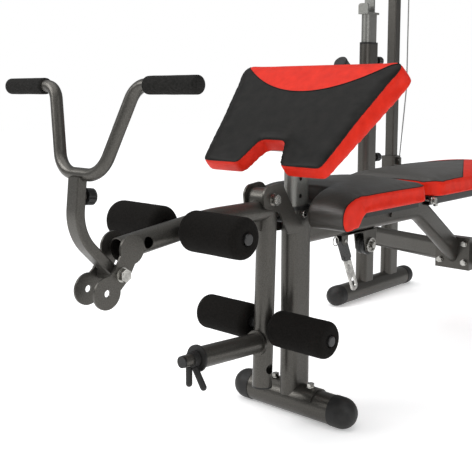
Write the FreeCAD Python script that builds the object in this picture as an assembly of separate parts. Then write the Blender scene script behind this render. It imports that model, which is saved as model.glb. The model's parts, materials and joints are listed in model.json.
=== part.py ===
"""Multi station home gym: a flat bench with a preacher curl pad, a leg lever with a curl bar,
a barbell rack and a cable tower with a plate carriage.

Millimetres.  +Z is up from the floor, +Y runs from the leg lever towards the cable tower and
X runs across the bench.  Shapes are drawn with Y = 0 at the front post and are moved along Y
when they are written, so that the origin is the bottom centre of the whole machine.
"""
import FreeCAD, Part
import math
import os

Vector = FreeCAD.Vector
X_DIR = Vector(1, 0, 0)
Y_DIR = Vector(0, 1, 0)
Z_DIR = Vector(0, 0, 1)
CENTRE = Vector(0, 0, 0)

# ---------------------------------------------------------------- driving dimensions
Y_MIDDLE = 436.11           # middle of the machine's length, measured from the front post
SLIDE_GAP = 0.3             # gap round telescoping tubes
RUN_GAP = 0.05              # radial gap round turning pins

WALL = 2.5                  # steel tube wall
POST_WIDTH = 50.0           # outer oval posts, across the bench
POST_DEPTH = 90.0           # outer oval posts, along the bench
INNER_WIDTH = 40.0          # inner oval posts and rails
INNER_DEPTH = 76.0

FOOT_RADIUS = 38.0
CAP_RADIUS = 39.4
FOOT_Z = 39.0
CAP_SLEEVE = 24.0
FRONT_FOOT_X = 155.0        # dome centres of the front foot
SIDE_X = 528.0              # side frames
BASE_FRONT_Y = 951.0        # dome centres of the side feet
BASE_REAR_Y = 1469.0
SADDLE_WALL = 4.0
SADDLE_HALF = 82.0
SADDLE_ANGLE = 62.0
SADDLE_BOLT_X = 58.0

MAIN_POST_Y = 3.5
MAIN_POST_TOP = 540.0
COLLAR_HEIGHT = 8.0
COLLAR_SKIRT = 30.0

PIVOT_Y = -128.0            # leg lever pivot
PIVOT_Z = 578.5
PLATE_IN = 28.0             # inner face of the pivot and clevis plates
PLATE_THICK = 5.0
PIVOT_BOLT_RADIUS = 8.0
BARREL_RADIUS = 27.5
BARREL_HALF = 27.0

LEVER_RADIUS = 25.0
LEVER_TOP = Vector(0, -113, 545)
LEVER_FOOT = Vector(0, -128, 108)
ARM_REAR = Vector(0, -88, 550)
ARM_BEND = Vector(0, -320, 549)
ARM_TIP = Vector(0, -584, 518)
ARM_BEND_RADIUS = 700.0
AXLE_RADIUS = 12.5
UPPER_ROLLER = Vector(0, -415, 541)
LOWER_ROLLER = Vector(0, -121.5, 261.3)
SPARE_HOLE = Vector(0, -126.2, 153.3)
ARM_HOLE = Vector(0, -522, 526.5)
FOAM_RADIUS = 44.5
FOAM_IN = 38.0
FOAM_OUT = 202.0
FOAM_ROUND = 16.0

HORN_START = Vector(0, -124.0, 219.4)
HORN_RISE = 3.6             # degrees above the floor
HORN_FLANGE_RADIUS = 31.0
HORN_FLANGE_IN = 22.0       # distances along the horn, from the lever's axis
HORN_FLANGE_OUT = 30.0
HORN_SLEEVE_RADIUS = 25.0
HORN_SLEEVE_END = 232.0
HORN_POST_RADIUS = 14.0
HORN_POST_END = 279.0
HORN_PLUG_RADIUS = 13.5
HORN_PLUG_RIM = 5.0
WASHER_RADIUS = 31.0
WASHER_THICK = 5.0
CLIP_START = 239.0
CLIP_END = 255.0
GRIP_DIP = 7.5               # radius of the clip's dipped grips

CLEVIS_BOLT = Vector(0, -601, 474)
CLEVIS_EYE = Vector(0, -638, 442)
CLEVIS_ROOT = Vector(0, -573, 521)
CLEVIS_ROOT_RADIUS = 31.0
CLEVIS_EYE_RADIUS = 33.0
CLEVIS_NECK = 21.0           # half the plates' width between the lobes
YOKE_WIDTH = 35.0
YOKE_DEPTH = 22.0
YOKE_BEND = Vector(0, -691, 564)
YOKE_TOP = Vector(0, -681, 664)
YOKE_BEND_RADIUS = 100.0
CURL_BAR_RADIUS = 12.7
CURL_BAR_LOW = Vector(0, -672.5, 678.5)
CURL_BAR_HIGH = Vector(0, -638.0, 848.0)
CURL_FOOT_X = 62.0
CURL_SHOULDER_X = 125.0
CURL_END_X = 284.0
CURL_GRIP_RADIUS = 17.0
CURL_GRIP_IN = 158.0

PREACHER_TILT = 44.7        # degrees, pad face above the floor
PREACHER_BACK_TILT = 41.5   # degrees, the pad's back, so the pad is thicker at its top
PREACHER_LOW = Vector(0, -151.4, 671)
PREACHER_LENGTH = 357.0
PREACHER_THICK = 46.0       # at the lower edge
PREACHER_LOW_X = 196.0
PREACHER_HIGH_X = 264.0
PREACHER_BACKING = 8.0
PREACHER_POST_BOTTOM = 430.0

SPINE_Z = 483.0
SPINE_BEND = Vector(0, 612, 483)
SPINE_END = Vector(0, 905, 289)
SPINE_BEND_RADIUS = 130.0
CROSS_APEX = Vector(0, 912, 292)
CROSS_END_Y = 1150.0
CROSS_END_Z = 262.0
BRACKET_FACE_Y = 872.0

SEAT_HALF = 172.0
SEAT_TOP = 580.0
SEAT_UNDER = 535.0
SEAT_REAR = 397.0
NOTCH_HALF = 46.0
NOTCH_REAR = 62.0
BOARD_UNDER = 521.0

BACK_HALF = 170.0
BACK_FRONT = 436.0
BACK_REAR = 1128.0
BACK_TOP = 587.0
BACK_UNDER = 541.0
RAIL_X = 130.0
RAIL_SIZE = 25.0
BACK_PIVOT_Y = 453.0
BACK_PIVOT_Z = 530.0
BACK_PIN_RADIUS = 6.0
RAIL_FRONT = 442.0
RAIL_REAR = 1172.0
EAR_RADIUS = 10.0           # round top of the hinge ears, clear of the pad as it tilts
REST_BAR_RADIUS = 12.5

LOW_PULLEY = Vector(0, 330, 402)
LOW_PULLEY_RADIUS = 29.0
LINK_PIVOT = Vector(0, 212, 428)
LINK_LEAN = 25.0            # degrees, the link's foot towards the tower
RING_Y = 183.0

RACK_Y = 1150.0
RACK_TOP = 1030.0
RACK_INNER_BOTTOM = 520.0
BAR_Y = 1130.0              # centre line of the barbell that the cradles hold
BAR_Z = 1170.0
CRADLE_WIDTH = 44.0
CRADLE_WALL = 8.0
UPPER_PIN_Z = 967.0
LOWER_PIN_Z = 574.0
SAFETY_TIP = Vector(SIDE_X, 958, 950)
SAFETY_ROOT = Vector(SIDE_X, RACK_Y, 800)
SAFETY_RADIUS = 27.0

TOWER_Y = 1340.0
STUB_TOP = 450.0
TOWER_SIZE = 40.0
TOWER_TOP = 2060.0
BEAM_SIZE = 50.0
BOOM_TIP_Y = 800.0
PULLEY_RADIUS = 50.0
CABLE_WRAP_RADIUS = 45.0    # from a pulley's axle to the middle of the cable
CABLE_RADIUS = 2.5
CABLE_TOP_Z = 2025.0
PULLEY_Z = CABLE_TOP_Z - CABLE_WRAP_RADIUS
CABLE_LEFT_X = -462.0
CABLE_LUG = Vector(-488.0, TOWER_Y, 566.0)
CABLE_BEND_Z = 860.0
LAT_Y = 850.0
LAT_BAR_Z = 1730.0
LAT_BAR_RADIUS = 14.0
CARRIAGE_BOTTOM = 462.0
CARRIAGE_HEIGHT = 112.0
CARRIAGE_SIZE = 60.0
CARRIAGE_HORN_Z = 504.0
CARRIAGE_HORN_LENGTH = 200.0

nodes = {}


# ---------------------------------------------------------------- shape helpers
def frame_at(origin, z_dir, x_dir):
    """Placement whose local Z and X point along the given directions."""
    return FreeCAD.Placement(origin, FreeCAD.Rotation(x_dir, z_dir.cross(x_dir), z_dir, "ZXY"))


def box(low, high):
    size = high - low
    return Part.makeBox(size.x, size.y, size.z, low)


def rod(start, end, radius):
    run = end - start
    return Part.makeCylinder(radius, run.Length, start, run)


def pipe(start, end, radius, wall):
    return rod(start, end, radius).cut(rod(start, end, radius - wall))


def cross_rod(centre, half, radius):
    """Round bar across the bench, centred on its point."""
    return rod(centre - X_DIR * half, centre + X_DIR * half, radius)


def oval_wire(width, depth):
    """Flat-sided oval about the origin: width along X, depth along Y."""
    r = width / 2
    flat = depth / 2 - r
    edges = [
        Part.LineSegment(Vector(r, -flat, 0), Vector(r, flat, 0)).toShape(),
        Part.Arc(Vector(r, flat, 0), Vector(0, flat + r, 0), Vector(-r, flat, 0)).toShape(),
        Part.LineSegment(Vector(-r, flat, 0), Vector(-r, -flat, 0)).toShape(),
        Part.Arc(Vector(-r, -flat, 0), Vector(0, -flat - r, 0), Vector(r, -flat, 0)).toShape(),
    ]
    return Part.Wire(edges)


def rectangle_wire(width, depth, corner):
    """Rectangle with rounded corners about the origin."""
    a = width / 2
    b = depth / 2
    corners = [Vector(a, b, 0), Vector(-a, b, 0), Vector(-a, -b, 0), Vector(a, -b, 0)]
    return rounded_loop(corners, corner)


def rounded_corner(before, corner, after, radius):
    """Start, middle and end of the arc that rounds a corner."""
    to_before = (before - corner).normalize()
    to_after = (after - corner).normalize()
    half = to_before.getAngle(to_after) / 2
    reach = radius / math.tan(half)
    middle = (to_before + to_after).normalize() * (radius / math.sin(half) - radius)
    return corner + to_before * reach, corner + middle, corner + to_after * reach


def rounded_loop(points, radius):
    """Closed outline with the same radius at every corner, or one radius each."""
    radii = radius if isinstance(radius, list) else [radius] * len(points)
    arcs = []
    for i, point in enumerate(points):
        after = points[(i + 1) % len(points)]
        arcs.append(rounded_corner(points[i - 1], point, after, radii[i]))
    edges = []
    for i, arc in enumerate(arcs):
        edges.append(Part.Arc(*arc).toShape())
        following = arcs[(i + 1) % len(arcs)]
        if (following[0] - arc[2]).Length > 0.001:
            edges.append(Part.LineSegment(arc[2], following[0]).toShape())
    return Part.Wire(edges)


def rounded_path(points, radius):
    """Open path of straight runs joined by tangent arcs."""
    edges = []
    last = points[0]
    for i in range(1, len(points) - 1):
        start, middle, end = rounded_corner(points[i - 1], points[i], points[i + 1], radius)
        edges.append(Part.LineSegment(last, start).toShape())
        edges.append(Part.Arc(start, middle, end).toShape())
        last = end
    edges.append(Part.LineSegment(last, points[-1]).toShape())
    return Part.Wire(edges)


def swept(wire, points, radius, side):
    """Outline swept along a rounded path; side is the outline's X direction."""
    profile = wire.copy()
    profile.Placement = frame_at(points[0], (points[1] - points[0]).normalize(), side)
    return rounded_path(points, radius).makePipeShell([profile], True, False)


def round_sweep(points, bend_radius, radius):
    circle = Part.Wire([Part.makeCircle(radius)])
    return swept(circle, points, bend_radius, X_DIR)


def prism(wire, start, end, side):
    """Outline pushed straight from start to end."""
    run = end - start
    face = Part.Face(wire)
    face.Placement = frame_at(start, Vector(run).normalize(), side)
    return face.extrude(run)


def oval_tube(start, end, width, depth, wall=WALL):
    outer = prism(oval_wire(width, depth), start, end, X_DIR)
    return outer.cut(prism(oval_wire(width - 2 * wall, depth - 2 * wall), start, end, X_DIR))


def square_tube(start, end, size, wall, side=X_DIR):
    outer = prism(rectangle_wire(size, size, 5), start, end, side)
    inner = prism(rectangle_wire(size - 2 * wall, size - 2 * wall, 3), start, end, side)
    return outer.cut(inner)


def side_plate(points, radii, x_low, x_high):
    """Plate standing along the bench, from an outline of (y, z) points."""
    outline = [Vector(x_low, y, z) for y, z in points]
    return Part.Face(rounded_loop(outline, radii)).extrude(X_DIR * (x_high - x_low))


def mirrored(shape):
    return shape.mirror(CENTRE, X_DIR)


def both_sides(shape):
    return Part.makeCompound([shape, mirrored(shape)])


def hex_prism(centre, axis, across, height):
    """Hexagonal head or nut standing on its centre along axis."""
    corner = across / 2 / math.cos(math.radians(30))
    points = []
    for i in range(7):
        angle = math.radians(60 * i)
        points.append(Vector(corner * math.cos(angle), corner * math.sin(angle), 0))
    face = Part.Face(Part.makePolygon(points))
    side = Z_DIR if abs(axis.z) < 0.9 else X_DIR
    side = (side - axis * side.dot(axis)).normalize()
    face.Placement = frame_at(centre, axis, side)
    return face.extrude(axis * height)


def head(centre, axis, across):
    """Washer with a hexagonal head on it and a low crown on top."""
    washer = rod(centre, centre + axis * 2, across * 0.62)
    hexagon = hex_prism(centre + axis * 2, axis, across, across * 0.5)
    crown = rod(centre + axis * 2, centre + axis * (2.6 + across * 0.5), across * 0.4)
    return washer.fuse([hexagon, crown]).removeSplitter()


def through_bolt(centre, half, shank, across):
    """Bolt across the bench with a head at +X and a nut at -X; half is to the washers."""
    shaft = cross_rod(centre, half, shank)
    near = head(centre + X_DIR * half, X_DIR, across)
    far = head(centre - X_DIR * half, -X_DIR, across)
    return shaft.fuse([near, far]).removeSplitter()


def foot_cap(centre, outward):
    """Rubber cap over the end of a round foot: a short sleeve and a dome, flat underneath."""
    sleeve = rod(centre - outward * CAP_SLEEVE, centre, CAP_RADIUS)
    dome = Part.makeSphere(CAP_RADIUS, centre)
    inside = rod(centre - outward * CAP_SLEEVE, centre - outward * 4, FOOT_RADIUS)
    lip = rod(centre - outward * (CAP_SLEEVE + CAP_RADIUS), centre - outward * CAP_SLEEVE, CAP_RADIUS + 1)
    reach = Vector(80, 80, 0)
    below = box(centre - reach - Z_DIR * 80, centre + reach - Z_DIR * centre.z)
    return sleeve.fuse(dome).cut(inside).cut(lip).cut(below).removeSplitter()


def round_knob(start, axis, radius, length):
    """Fluted knob standing on its start point."""
    body = rod(start, start + axis * length, radius)
    body = body.makeFillet(3, [e for e in body.Edges if isinstance(e.Curve, Part.Circle)])
    for i in range(8):
        turn = FreeCAD.Rotation(axis, 45 * i)
        flute = start + turn.multVec(axis.cross(X_DIR).normalize()) * (radius + 2)
        body = body.cut(rod(flute - axis, flute + axis * (length + 1), 4))
    return body


def along(start, end, share):
    return start + (end - start) * share


# ---------------------------------------------------------------- front foot and main post
def front_foot():
    half = FRONT_FOOT_X - 4
    tube = pipe(Vector(-half, 0, FOOT_Z), Vector(half, 0, FOOT_Z), FOOT_RADIUS, WALL)
    return tube


def foot_bolts():
    bolts = []
    for x in (-SADDLE_BOLT_X, SADDLE_BOLT_X):
        seat = FOOT_Z + FOOT_RADIUS + SADDLE_WALL
        shank = rod(Vector(x, -2, FOOT_Z + 20), Vector(x, -2, seat), 5)
        bolts.append(shank.fuse(head(Vector(x, -2, seat), Z_DIR, 17)).removeSplitter())
    return Part.makeCompound(bolts)


def main_post():
    outer = FOOT_RADIUS + SADDLE_WALL
    low = Vector(-SADDLE_HALF, 0, FOOT_Z)
    high = Vector(SADDLE_HALF, 0, FOOT_Z)
    shell = rod(low, high, outer).cut(rod(low, high, FOOT_RADIUS))
    under = FOOT_Z + FOOT_RADIUS * math.cos(math.radians(SADDLE_ANGLE))
    reach = outer + 10
    shell = shell.cut(box(Vector(-200, -reach, -reach), Vector(200, reach, under)))
    post = oval_tube(Vector(0, MAIN_POST_Y, FOOT_Z), Vector(0, MAIN_POST_Y, MAIN_POST_TOP),
                     POST_WIDTH, POST_DEPTH)
    post = post.cut(rod(Vector(-200, 0, FOOT_Z), Vector(200, 0, FOOT_Z), FOOT_RADIUS + 1))
    post = post.cut(box(Vector(-100, -100, 0), Vector(100, 100, under)))
    return shell.fuse(post).removeSplitter()


def post_collar(centre_y, top, outer_width, outer_depth, hole_width, hole_depth, x=0.0):
    """Plastic guide in the mouth of an outer post: a rim on top and a skirt inside."""
    place = Vector(x, centre_y, top)
    rim = prism(oval_wire(outer_width, outer_depth), place, place + Z_DIR * COLLAR_HEIGHT, X_DIR)
    skirt = prism(oval_wire(outer_width - 2 * WALL, outer_depth - 2 * WALL),
                  place - Z_DIR * COLLAR_SKIRT, place, X_DIR)
    hole = prism(oval_wire(hole_width, hole_depth), place - Z_DIR * (COLLAR_SKIRT + 1),
                 place + Z_DIR * (COLLAR_HEIGHT + 1), X_DIR)
    return rim.fuse(skirt).cut(hole).removeSplitter()


def pivot_bracket():
    """Two plates that carry the leg lever, on spacers at the sides of the main post."""
    outline = [(-162, 560), (-168, 610), (-96, 618), (-34, 527), (12, 482), (-68, 486), (-104, 545)]
    radii = [14.0, 26.0, 26.0, 60.0, 6.0, 6.0, 20.0]
    plate = side_plate(outline, radii, PLATE_IN, PLATE_IN + PLATE_THICK)
    spacer = box(Vector(POST_WIDTH / 2, -16, 487), Vector(PLATE_IN, -6, 497))
    plate = plate.fuse(spacer).removeSplitter()
    return both_sides(plate.cut(cross_rod(Vector(0, PIVOT_Y, PIVOT_Z), 60, PIVOT_BOLT_RADIUS)))


def lever_stop():
    """Rubber sleeve between the plates, which the hanging lever rests on."""
    return cross_rod(Vector(0, -75.4, 528), PLATE_IN, 11.9)


# ---------------------------------------------------------------- leg lever
def leg_lever_solid():
    """Outer shape of the lever: pivot barrel, arm and hanging tube."""
    barrel = cross_rod(Vector(0, PIVOT_Y, PIVOT_Z), BARREL_HALF, BARREL_RADIUS)
    arm = round_sweep([ARM_REAR, ARM_BEND, ARM_TIP], ARM_BEND_RADIUS, LEVER_RADIUS)
    hanging = rod(LEVER_FOOT, LEVER_TOP, LEVER_RADIUS)
    gusset = [Vector(-4, -130, 495), Vector(-4, -205, 527), Vector(-4, -130, 527)]
    web = Part.Face(Part.makePolygon(gusset + gusset[:1])).extrude(X_DIR * 8)
    return barrel, arm, hanging, web


def leg_lever():
    barrel, arm, hanging, web = leg_lever_solid()
    inner = LEVER_RADIUS - WALL
    arm_core = round_sweep([ARM_REAR, ARM_BEND, ARM_TIP], ARM_BEND_RADIUS, inner)
    hanging_core = rod(LEVER_FOOT, along(LEVER_FOOT, LEVER_TOP, 0.94), inner)
    lever = arm.cut(arm_core).fuse([barrel, hanging.cut(arm_core), web])
    lever = lever.cut(hanging_core)
    lever = lever.cut(cross_rod(Vector(0, PIVOT_Y, PIVOT_Z), 60, PIVOT_BOLT_RADIUS + RUN_GAP))
    for centre in (UPPER_ROLLER, LOWER_ROLLER, SPARE_HOLE, ARM_HOLE):
        lever = lever.cut(cross_rod(centre, 60, AXLE_RADIUS + RUN_GAP))
    lever = lever.cut(horn_rod(HORN_FLANGE_IN, HORN_FLANGE_OUT + 2, HORN_FLANGE_RADIUS))
    return lever.removeSplitter()


def lever_plug():
    """Cap in the foot of the hanging tube, with a rim as wide as the tube."""
    rise = (LEVER_TOP - LEVER_FOOT).normalize()
    rim = rod(LEVER_FOOT - rise * 4, LEVER_FOOT, LEVER_RADIUS)
    stem = rod(LEVER_FOOT, LEVER_FOOT + rise * 14, LEVER_RADIUS - WALL)
    return rim.fuse(stem).removeSplitter()


def horn_dir():
    return Vector(0, -math.cos(math.radians(HORN_RISE)), math.sin(math.radians(HORN_RISE)))


def horn_point(distance):
    return HORN_START + horn_dir() * distance


def horn_rod(start, end, radius):
    """Length of round bar on the horn's axis."""
    return rod(horn_point(start), horn_point(end), radius)


def weight_horn():
    """Stepped horn for weight plates, with the flange that is welded to the lever."""
    flange = horn_rod(HORN_FLANGE_IN, HORN_FLANGE_OUT, HORN_FLANGE_RADIUS)
    sleeve = horn_rod(HORN_FLANGE_OUT, HORN_SLEEVE_END, HORN_SLEEVE_RADIUS)
    post = horn_rod(HORN_SLEEVE_END, HORN_POST_END, HORN_POST_RADIUS)
    bore = horn_rod(HORN_POST_END - 30, HORN_POST_END + 1, HORN_POST_RADIUS - 2)
    return flange.fuse([sleeve, post]).cut(bore).removeSplitter()


def horn_plug():
    rim = horn_rod(HORN_POST_END, HORN_POST_END + HORN_PLUG_RIM, HORN_PLUG_RADIUS)
    stem = horn_rod(HORN_POST_END - 20, HORN_POST_END, HORN_POST_RADIUS - 2)
    return rim.fuse(stem).removeSplitter()


def horn_washer():
    """Loose washer between the sleeve and the clip, which keeps the plates on."""
    disc = horn_rod(HORN_SLEEVE_END, HORN_SLEEVE_END + WASHER_THICK, WASHER_RADIUS)
    way = horn_rod(HORN_SLEEVE_END - 1, HORN_SLEEVE_END + WASHER_THICK + 1, HORN_POST_RADIUS + RUN_GAP)
    return disc.cut(way)


def spring_clip():
    """Coil clip on the horn's post with two dipped squeeze grips hanging from it."""
    start = horn_point(CLIP_START)
    end = horn_point(CLIP_END)
    ring = rod(start, end, HORN_POST_RADIUS + 4)
    handles = []
    for aside, lean, share in ((-6, 2, 0.95), (9, 27, 0.6)):
        root = along(start, end, share) + Vector(aside, 0, -HORN_POST_RADIUS - 6)
        tip = root + Vector(lean, -2, -36)
        handles.append(rod(root, tip, GRIP_DIP))
        handles.append(Part.makeSphere(GRIP_DIP, tip))
        handles.append(Part.makeSphere(GRIP_DIP, root))
    way = horn_rod(CLIP_START - 20, CLIP_END + 50, HORN_POST_RADIUS + RUN_GAP)
    return ring.fuse(handles).cut(way).removeSplitter()


def roller_axle(centre):
    """Tube with a round cap at each end, level with the ends of the foams."""
    half = FOAM_OUT - 2
    tube = cross_rod(centre, half, AXLE_RADIUS).cut(cross_rod(centre, half, AXLE_RADIUS - 2))
    cap = rod(centre + X_DIR * half, centre + X_DIR * (half + 7), AXLE_RADIUS)
    outer = [e for e in cap.Edges if e.BoundBox.XMin > half + 5 and isinstance(e.Curve, Part.Circle)]
    cap = cap.makeFillet(3, outer)
    return tube.fuse([cap, mirrored(cap)]).removeSplitter()


def roller_foams(centre):
    foam = rod(centre + X_DIR * FOAM_IN, centre + X_DIR * FOAM_OUT, FOAM_RADIUS)
    rims = [e for e in foam.Edges if isinstance(e.Curve, Part.Circle)]
    foam = foam.makeFillet(FOAM_ROUND, rims)
    foam = foam.cut(cross_rod(centre, FOAM_OUT + 10, AXLE_RADIUS))
    return both_sides(foam)


# ---------------------------------------------------------------- curl clevis, yoke and bar
def disc_hull(a, b, radius, x_low, x_high):
    """Plate with round ends about two points, standing along the bench."""
    run = (b - a).normalize()
    side = run.cross(X_DIR) * radius
    ends = []
    for point in (a, b):
        shifted = Vector(x_low, point.y, point.z)
        ends.append(Part.makeCylinder(radius, x_high - x_low, shifted, X_DIR))
    corners = [a + side, b + side, b - side, a - side]
    corners = [Vector(x_low, c.y, c.z) for c in corners]
    middle = Part.Face(Part.makePolygon(corners + corners[:1])).extrude(X_DIR * (x_high - x_low))
    return ends[0].fuse([ends[1], middle])


def curl_clevis():
    """Two S-shaped plates welded to the sides of the arm's tip, with an eye at each end."""
    x_low = PLATE_IN
    x_high = PLATE_IN + PLATE_THICK
    neck = disc_hull(CLEVIS_ROOT, CLEVIS_BOLT, CLEVIS_NECK, x_low, x_high)
    plate = disc_hull(CLEVIS_BOLT, CLEVIS_EYE, CLEVIS_NECK, x_low, x_high).fuse(neck)
    for centre, radius in ((CLEVIS_ROOT, CLEVIS_ROOT_RADIUS), (CLEVIS_EYE, CLEVIS_EYE_RADIUS)):
        plate = plate.fuse(rod(centre + X_DIR * x_low, centre + X_DIR * x_high, radius))
    plate = plate.cut(cross_rod(CLEVIS_EYE, 60, 7.5))
    plate = plate.cut(cross_rod(CLEVIS_BOLT, 60, PIVOT_BOLT_RADIUS))
    weld_a = rod(CLEVIS_ROOT + X_DIR * 15, CLEVIS_ROOT + X_DIR * PLATE_IN, 12)
    arm = rod(ARM_BEND, along(ARM_BEND, ARM_TIP, 1.2), LEVER_RADIUS)
    return both_sides(plate.fuse(weld_a.cut(arm)).removeSplitter())


def yoke_dir():
    return (YOKE_TOP - YOKE_BEND).normalize()


def curl_yoke():
    outline = rectangle_wire(YOKE_WIDTH, YOKE_DEPTH, 4)
    core = rectangle_wire(YOKE_WIDTH - 4, YOKE_DEPTH - 4, 2)
    points = [CLEVIS_BOLT, YOKE_BEND, YOKE_TOP]
    outer = swept(outline, points, YOKE_BEND_RADIUS, X_DIR)
    inner = swept(core, points, YOKE_BEND_RADIUS, X_DIR)
    barrel = cross_rod(CLEVIS_BOLT, BARREL_HALF, 17)
    hole = cross_rod(CLEVIS_BOLT, 60, PIVOT_BOLT_RADIUS + RUN_GAP)
    tapped = yoke_knob_axis()
    knob_hole = rod(tapped[0] - tapped[1] * 8, tapped[0] + tapped[1] * 30, 5 + RUN_GAP)
    boss = rod(tapped[0], tapped[0] + tapped[1] * 6, 10)
    yoke = outer.cut(inner).fuse([barrel.cut(inner), boss])
    return yoke.cut(hole).cut(knob_hole).removeSplitter()


def yoke_knob_axis():
    """Centre of the yoke's rear face at the knob, and the way the knob points."""
    outward = yoke_dir().cross(X_DIR)
    centre = YOKE_TOP - yoke_dir() * 28
    return centre + outward * (YOKE_DEPTH / 2), outward


def yoke_knob():
    face, outward = yoke_knob_axis()
    stem = rod(face - outward * 1.5, face + outward * 8, 5)
    return stem.fuse(round_knob(face + outward * 8, outward, 17, 20)).removeSplitter()


def curl_bar():
    """Wide V bar on a stub that slides in the yoke."""
    rise = CURL_BAR_HIGH - CURL_BAR_LOW
    half = [Vector(CURL_FOOT_X, CURL_BAR_LOW.y, CURL_BAR_LOW.z)]
    half.append(Vector(CURL_SHOULDER_X, CURL_BAR_LOW.y + rise.y, CURL_BAR_LOW.z + rise.z))
    half.append(Vector(CURL_END_X, CURL_BAR_LOW.y + rise.y, CURL_BAR_LOW.z + rise.z))
    left = [Vector(-p.x, p.y, p.z) for p in reversed(half)]
    points = left + half
    bar = curl_sweep(points, CURL_BAR_RADIUS).cut(curl_sweep(points, CURL_BAR_RADIUS - 2))
    stub_low = YOKE_TOP - yoke_dir() * 52
    stub = prism(rectangle_wire(YOKE_WIDTH - 4 - 2 * SLIDE_GAP, YOKE_DEPTH - 4 - 2 * SLIDE_GAP, 2),
                 stub_low, YOKE_TOP + yoke_dir() * 10, X_DIR)
    lug = prism(rectangle_wire(YOKE_WIDTH, YOKE_DEPTH, 4), YOKE_TOP, YOKE_TOP + yoke_dir() * 9, X_DIR)
    core = curl_sweep(points, CURL_BAR_RADIUS - 2)
    return bar.fuse([stub.cut(core), lug.cut(core)]).removeSplitter()


def curl_sweep(points, radius):
    circle = Part.Wire([Part.makeCircle(radius)])
    profile = circle.copy()
    profile.Placement = frame_at(points[0], (points[1] - points[0]).normalize(), Z_DIR)
    radii = [40.0, 58.0, 58.0, 40.0]
    edges = []
    last = points[0]
    for i in range(1, len(points) - 1):
        arc = rounded_corner(points[i - 1], points[i], points[i + 1], radii[i - 1])
        edges.append(Part.LineSegment(last, arc[0]).toShape())
        edges.append(Part.Arc(*arc).toShape())
        last = arc[2]
    edges.append(Part.LineSegment(last, points[-1]).toShape())
    return Part.Wire(edges).makePipeShell([profile], True, False)


def curl_grips():
    high = CURL_BAR_HIGH
    sleeve = rod(Vector(CURL_GRIP_IN, high.y, high.z), Vector(CURL_END_X + 4, high.y, high.z),
                 CURL_GRIP_RADIUS)
    rims = [e for e in sleeve.Edges if isinstance(e.Curve, Part.Circle)]
    sleeve = sleeve.makeFillet(5, rims)
    bore = rod(Vector(0, high.y, high.z), Vector(CURL_END_X, high.y, high.z), CURL_BAR_RADIUS)
    return both_sides(sleeve.cut(bore))


# ---------------------------------------------------------------- preacher pad
def slope_point(origin, tilt, x, v, depth):
    """Point on a slope through origin: x across, v up the slope, depth under it."""
    turn = math.radians(tilt)
    return Vector(x, origin.y + v * math.cos(turn) + depth * math.sin(turn),
                  origin.z + v * math.sin(turn) - depth * math.cos(turn))


def face_point(x, v, depth=0.0):
    return slope_point(PREACHER_LOW, PREACHER_TILT, x, v, depth)


def back_point(x, v, depth=0.0):
    return slope_point(face_point(0, 0, PREACHER_THICK), PREACHER_BACK_TILT, x, v, depth)


def slope_normal(tilt):
    turn = math.radians(tilt)
    return Vector(0, -math.sin(turn), math.cos(turn))


def preacher_outline(place, inset):
    """Pad outline: wide at the top, with a rounded notch in the middle of its lower edge."""
    low = PREACHER_LOW_X - inset
    high = PREACHER_HIGH_X - inset
    top = PREACHER_LENGTH - inset
    bottom = inset
    notch = 62 + inset
    roof = 82 + inset
    points = [place(-notch, bottom), place(-36 - inset, roof),
              place(36 + inset, roof), place(notch, bottom),
              place(low, bottom), place(high, top),
              place(-high, top), place(-low, bottom)]
    return rounded_loop(points, [7.0, 24.0, 24.0, 7.0, 14.0, 30.0, 30.0, 14.0])


def back_sheet(half, low, high, depth):
    """Flat rectangle lying on the slope of the pad's back."""
    corners = [back_point(-half, low, depth), back_point(half, low, depth),
               back_point(half, high, depth), back_point(-half, high, depth)]
    return Part.Face(Part.makePolygon(corners + corners[:1]))


def preacher_pad():
    """Padded wedge, thicker towards its top."""
    slab = Part.Face(preacher_outline(face_point, 0.0)).extrude(slope_normal(PREACHER_TILT) * -90)
    behind = back_sheet(400, -200, 600, 0).extrude(slope_normal(PREACHER_BACK_TILT) * -200)
    return slab.cut(behind)


def preacher_backing():
    outline = Part.Face(preacher_outline(back_point, 26.0))
    return outline.extrude(slope_normal(PREACHER_BACK_TILT) * -PREACHER_BACKING)


def preacher_post():
    """Inner post with the steel plate that carries the pad welded on its slanted top."""
    normal = slope_normal(PREACHER_BACK_TILT)
    low = Vector(0, MAIN_POST_Y, PREACHER_POST_BOTTOM)
    tube = oval_tube(low, Vector(0, MAIN_POST_Y, 900), INNER_WIDTH, INNER_DEPTH)
    above = back_sheet(200, -200, 500, PREACHER_BACKING).extrude(normal * 300)
    tube = tube.cut(above)
    plate = back_sheet(70, 90, 270, PREACHER_BACKING).extrude(normal * -5)
    rib_low = back_point(-4, 210, PREACHER_BACKING)
    rib = [rib_low, back_point(-4, 265, PREACHER_BACKING), Vector(-4, MAIN_POST_Y + 36, 700)]
    rib.append(Vector(-4, MAIN_POST_Y + 36, rib_low.z - 40))
    web = Part.Face(Part.makePolygon(rib + rib[:1])).extrude(X_DIR * 8).cut(above)
    core = prism(oval_wire(INNER_WIDTH - 2 * WALL, INNER_DEPTH - 2 * WALL), low,
                 Vector(0, MAIN_POST_Y, 680), X_DIR)
    post = tube.fuse([plate, web.cut(core)]).removeSplitter()
    for i in range(3):
        hole = Vector(0, MAIN_POST_Y - 8, 530 + 45 * i)
        post = post.cut(rod(hole, hole + X_DIR * 40, 6))
    return post


def preacher_pin():
    """Spring pin that locks the preacher post, with a small chrome head."""
    axis_y = MAIN_POST_Y - 8
    start = Vector(INNER_WIDTH / 2 + SLIDE_GAP, axis_y, 530)
    face = POST_WIDTH / 2 + 3
    pin = rod(start, Vector(face, axis_y, 530), 5)
    cap = rod(Vector(face, axis_y, 530), Vector(face + 8, axis_y, 530), 8.5)
    rims = [e for e in cap.Edges if isinstance(e.Curve, Part.Circle)]
    return pin.fuse(cap.makeFillet(2, rims)).removeSplitter()


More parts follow.
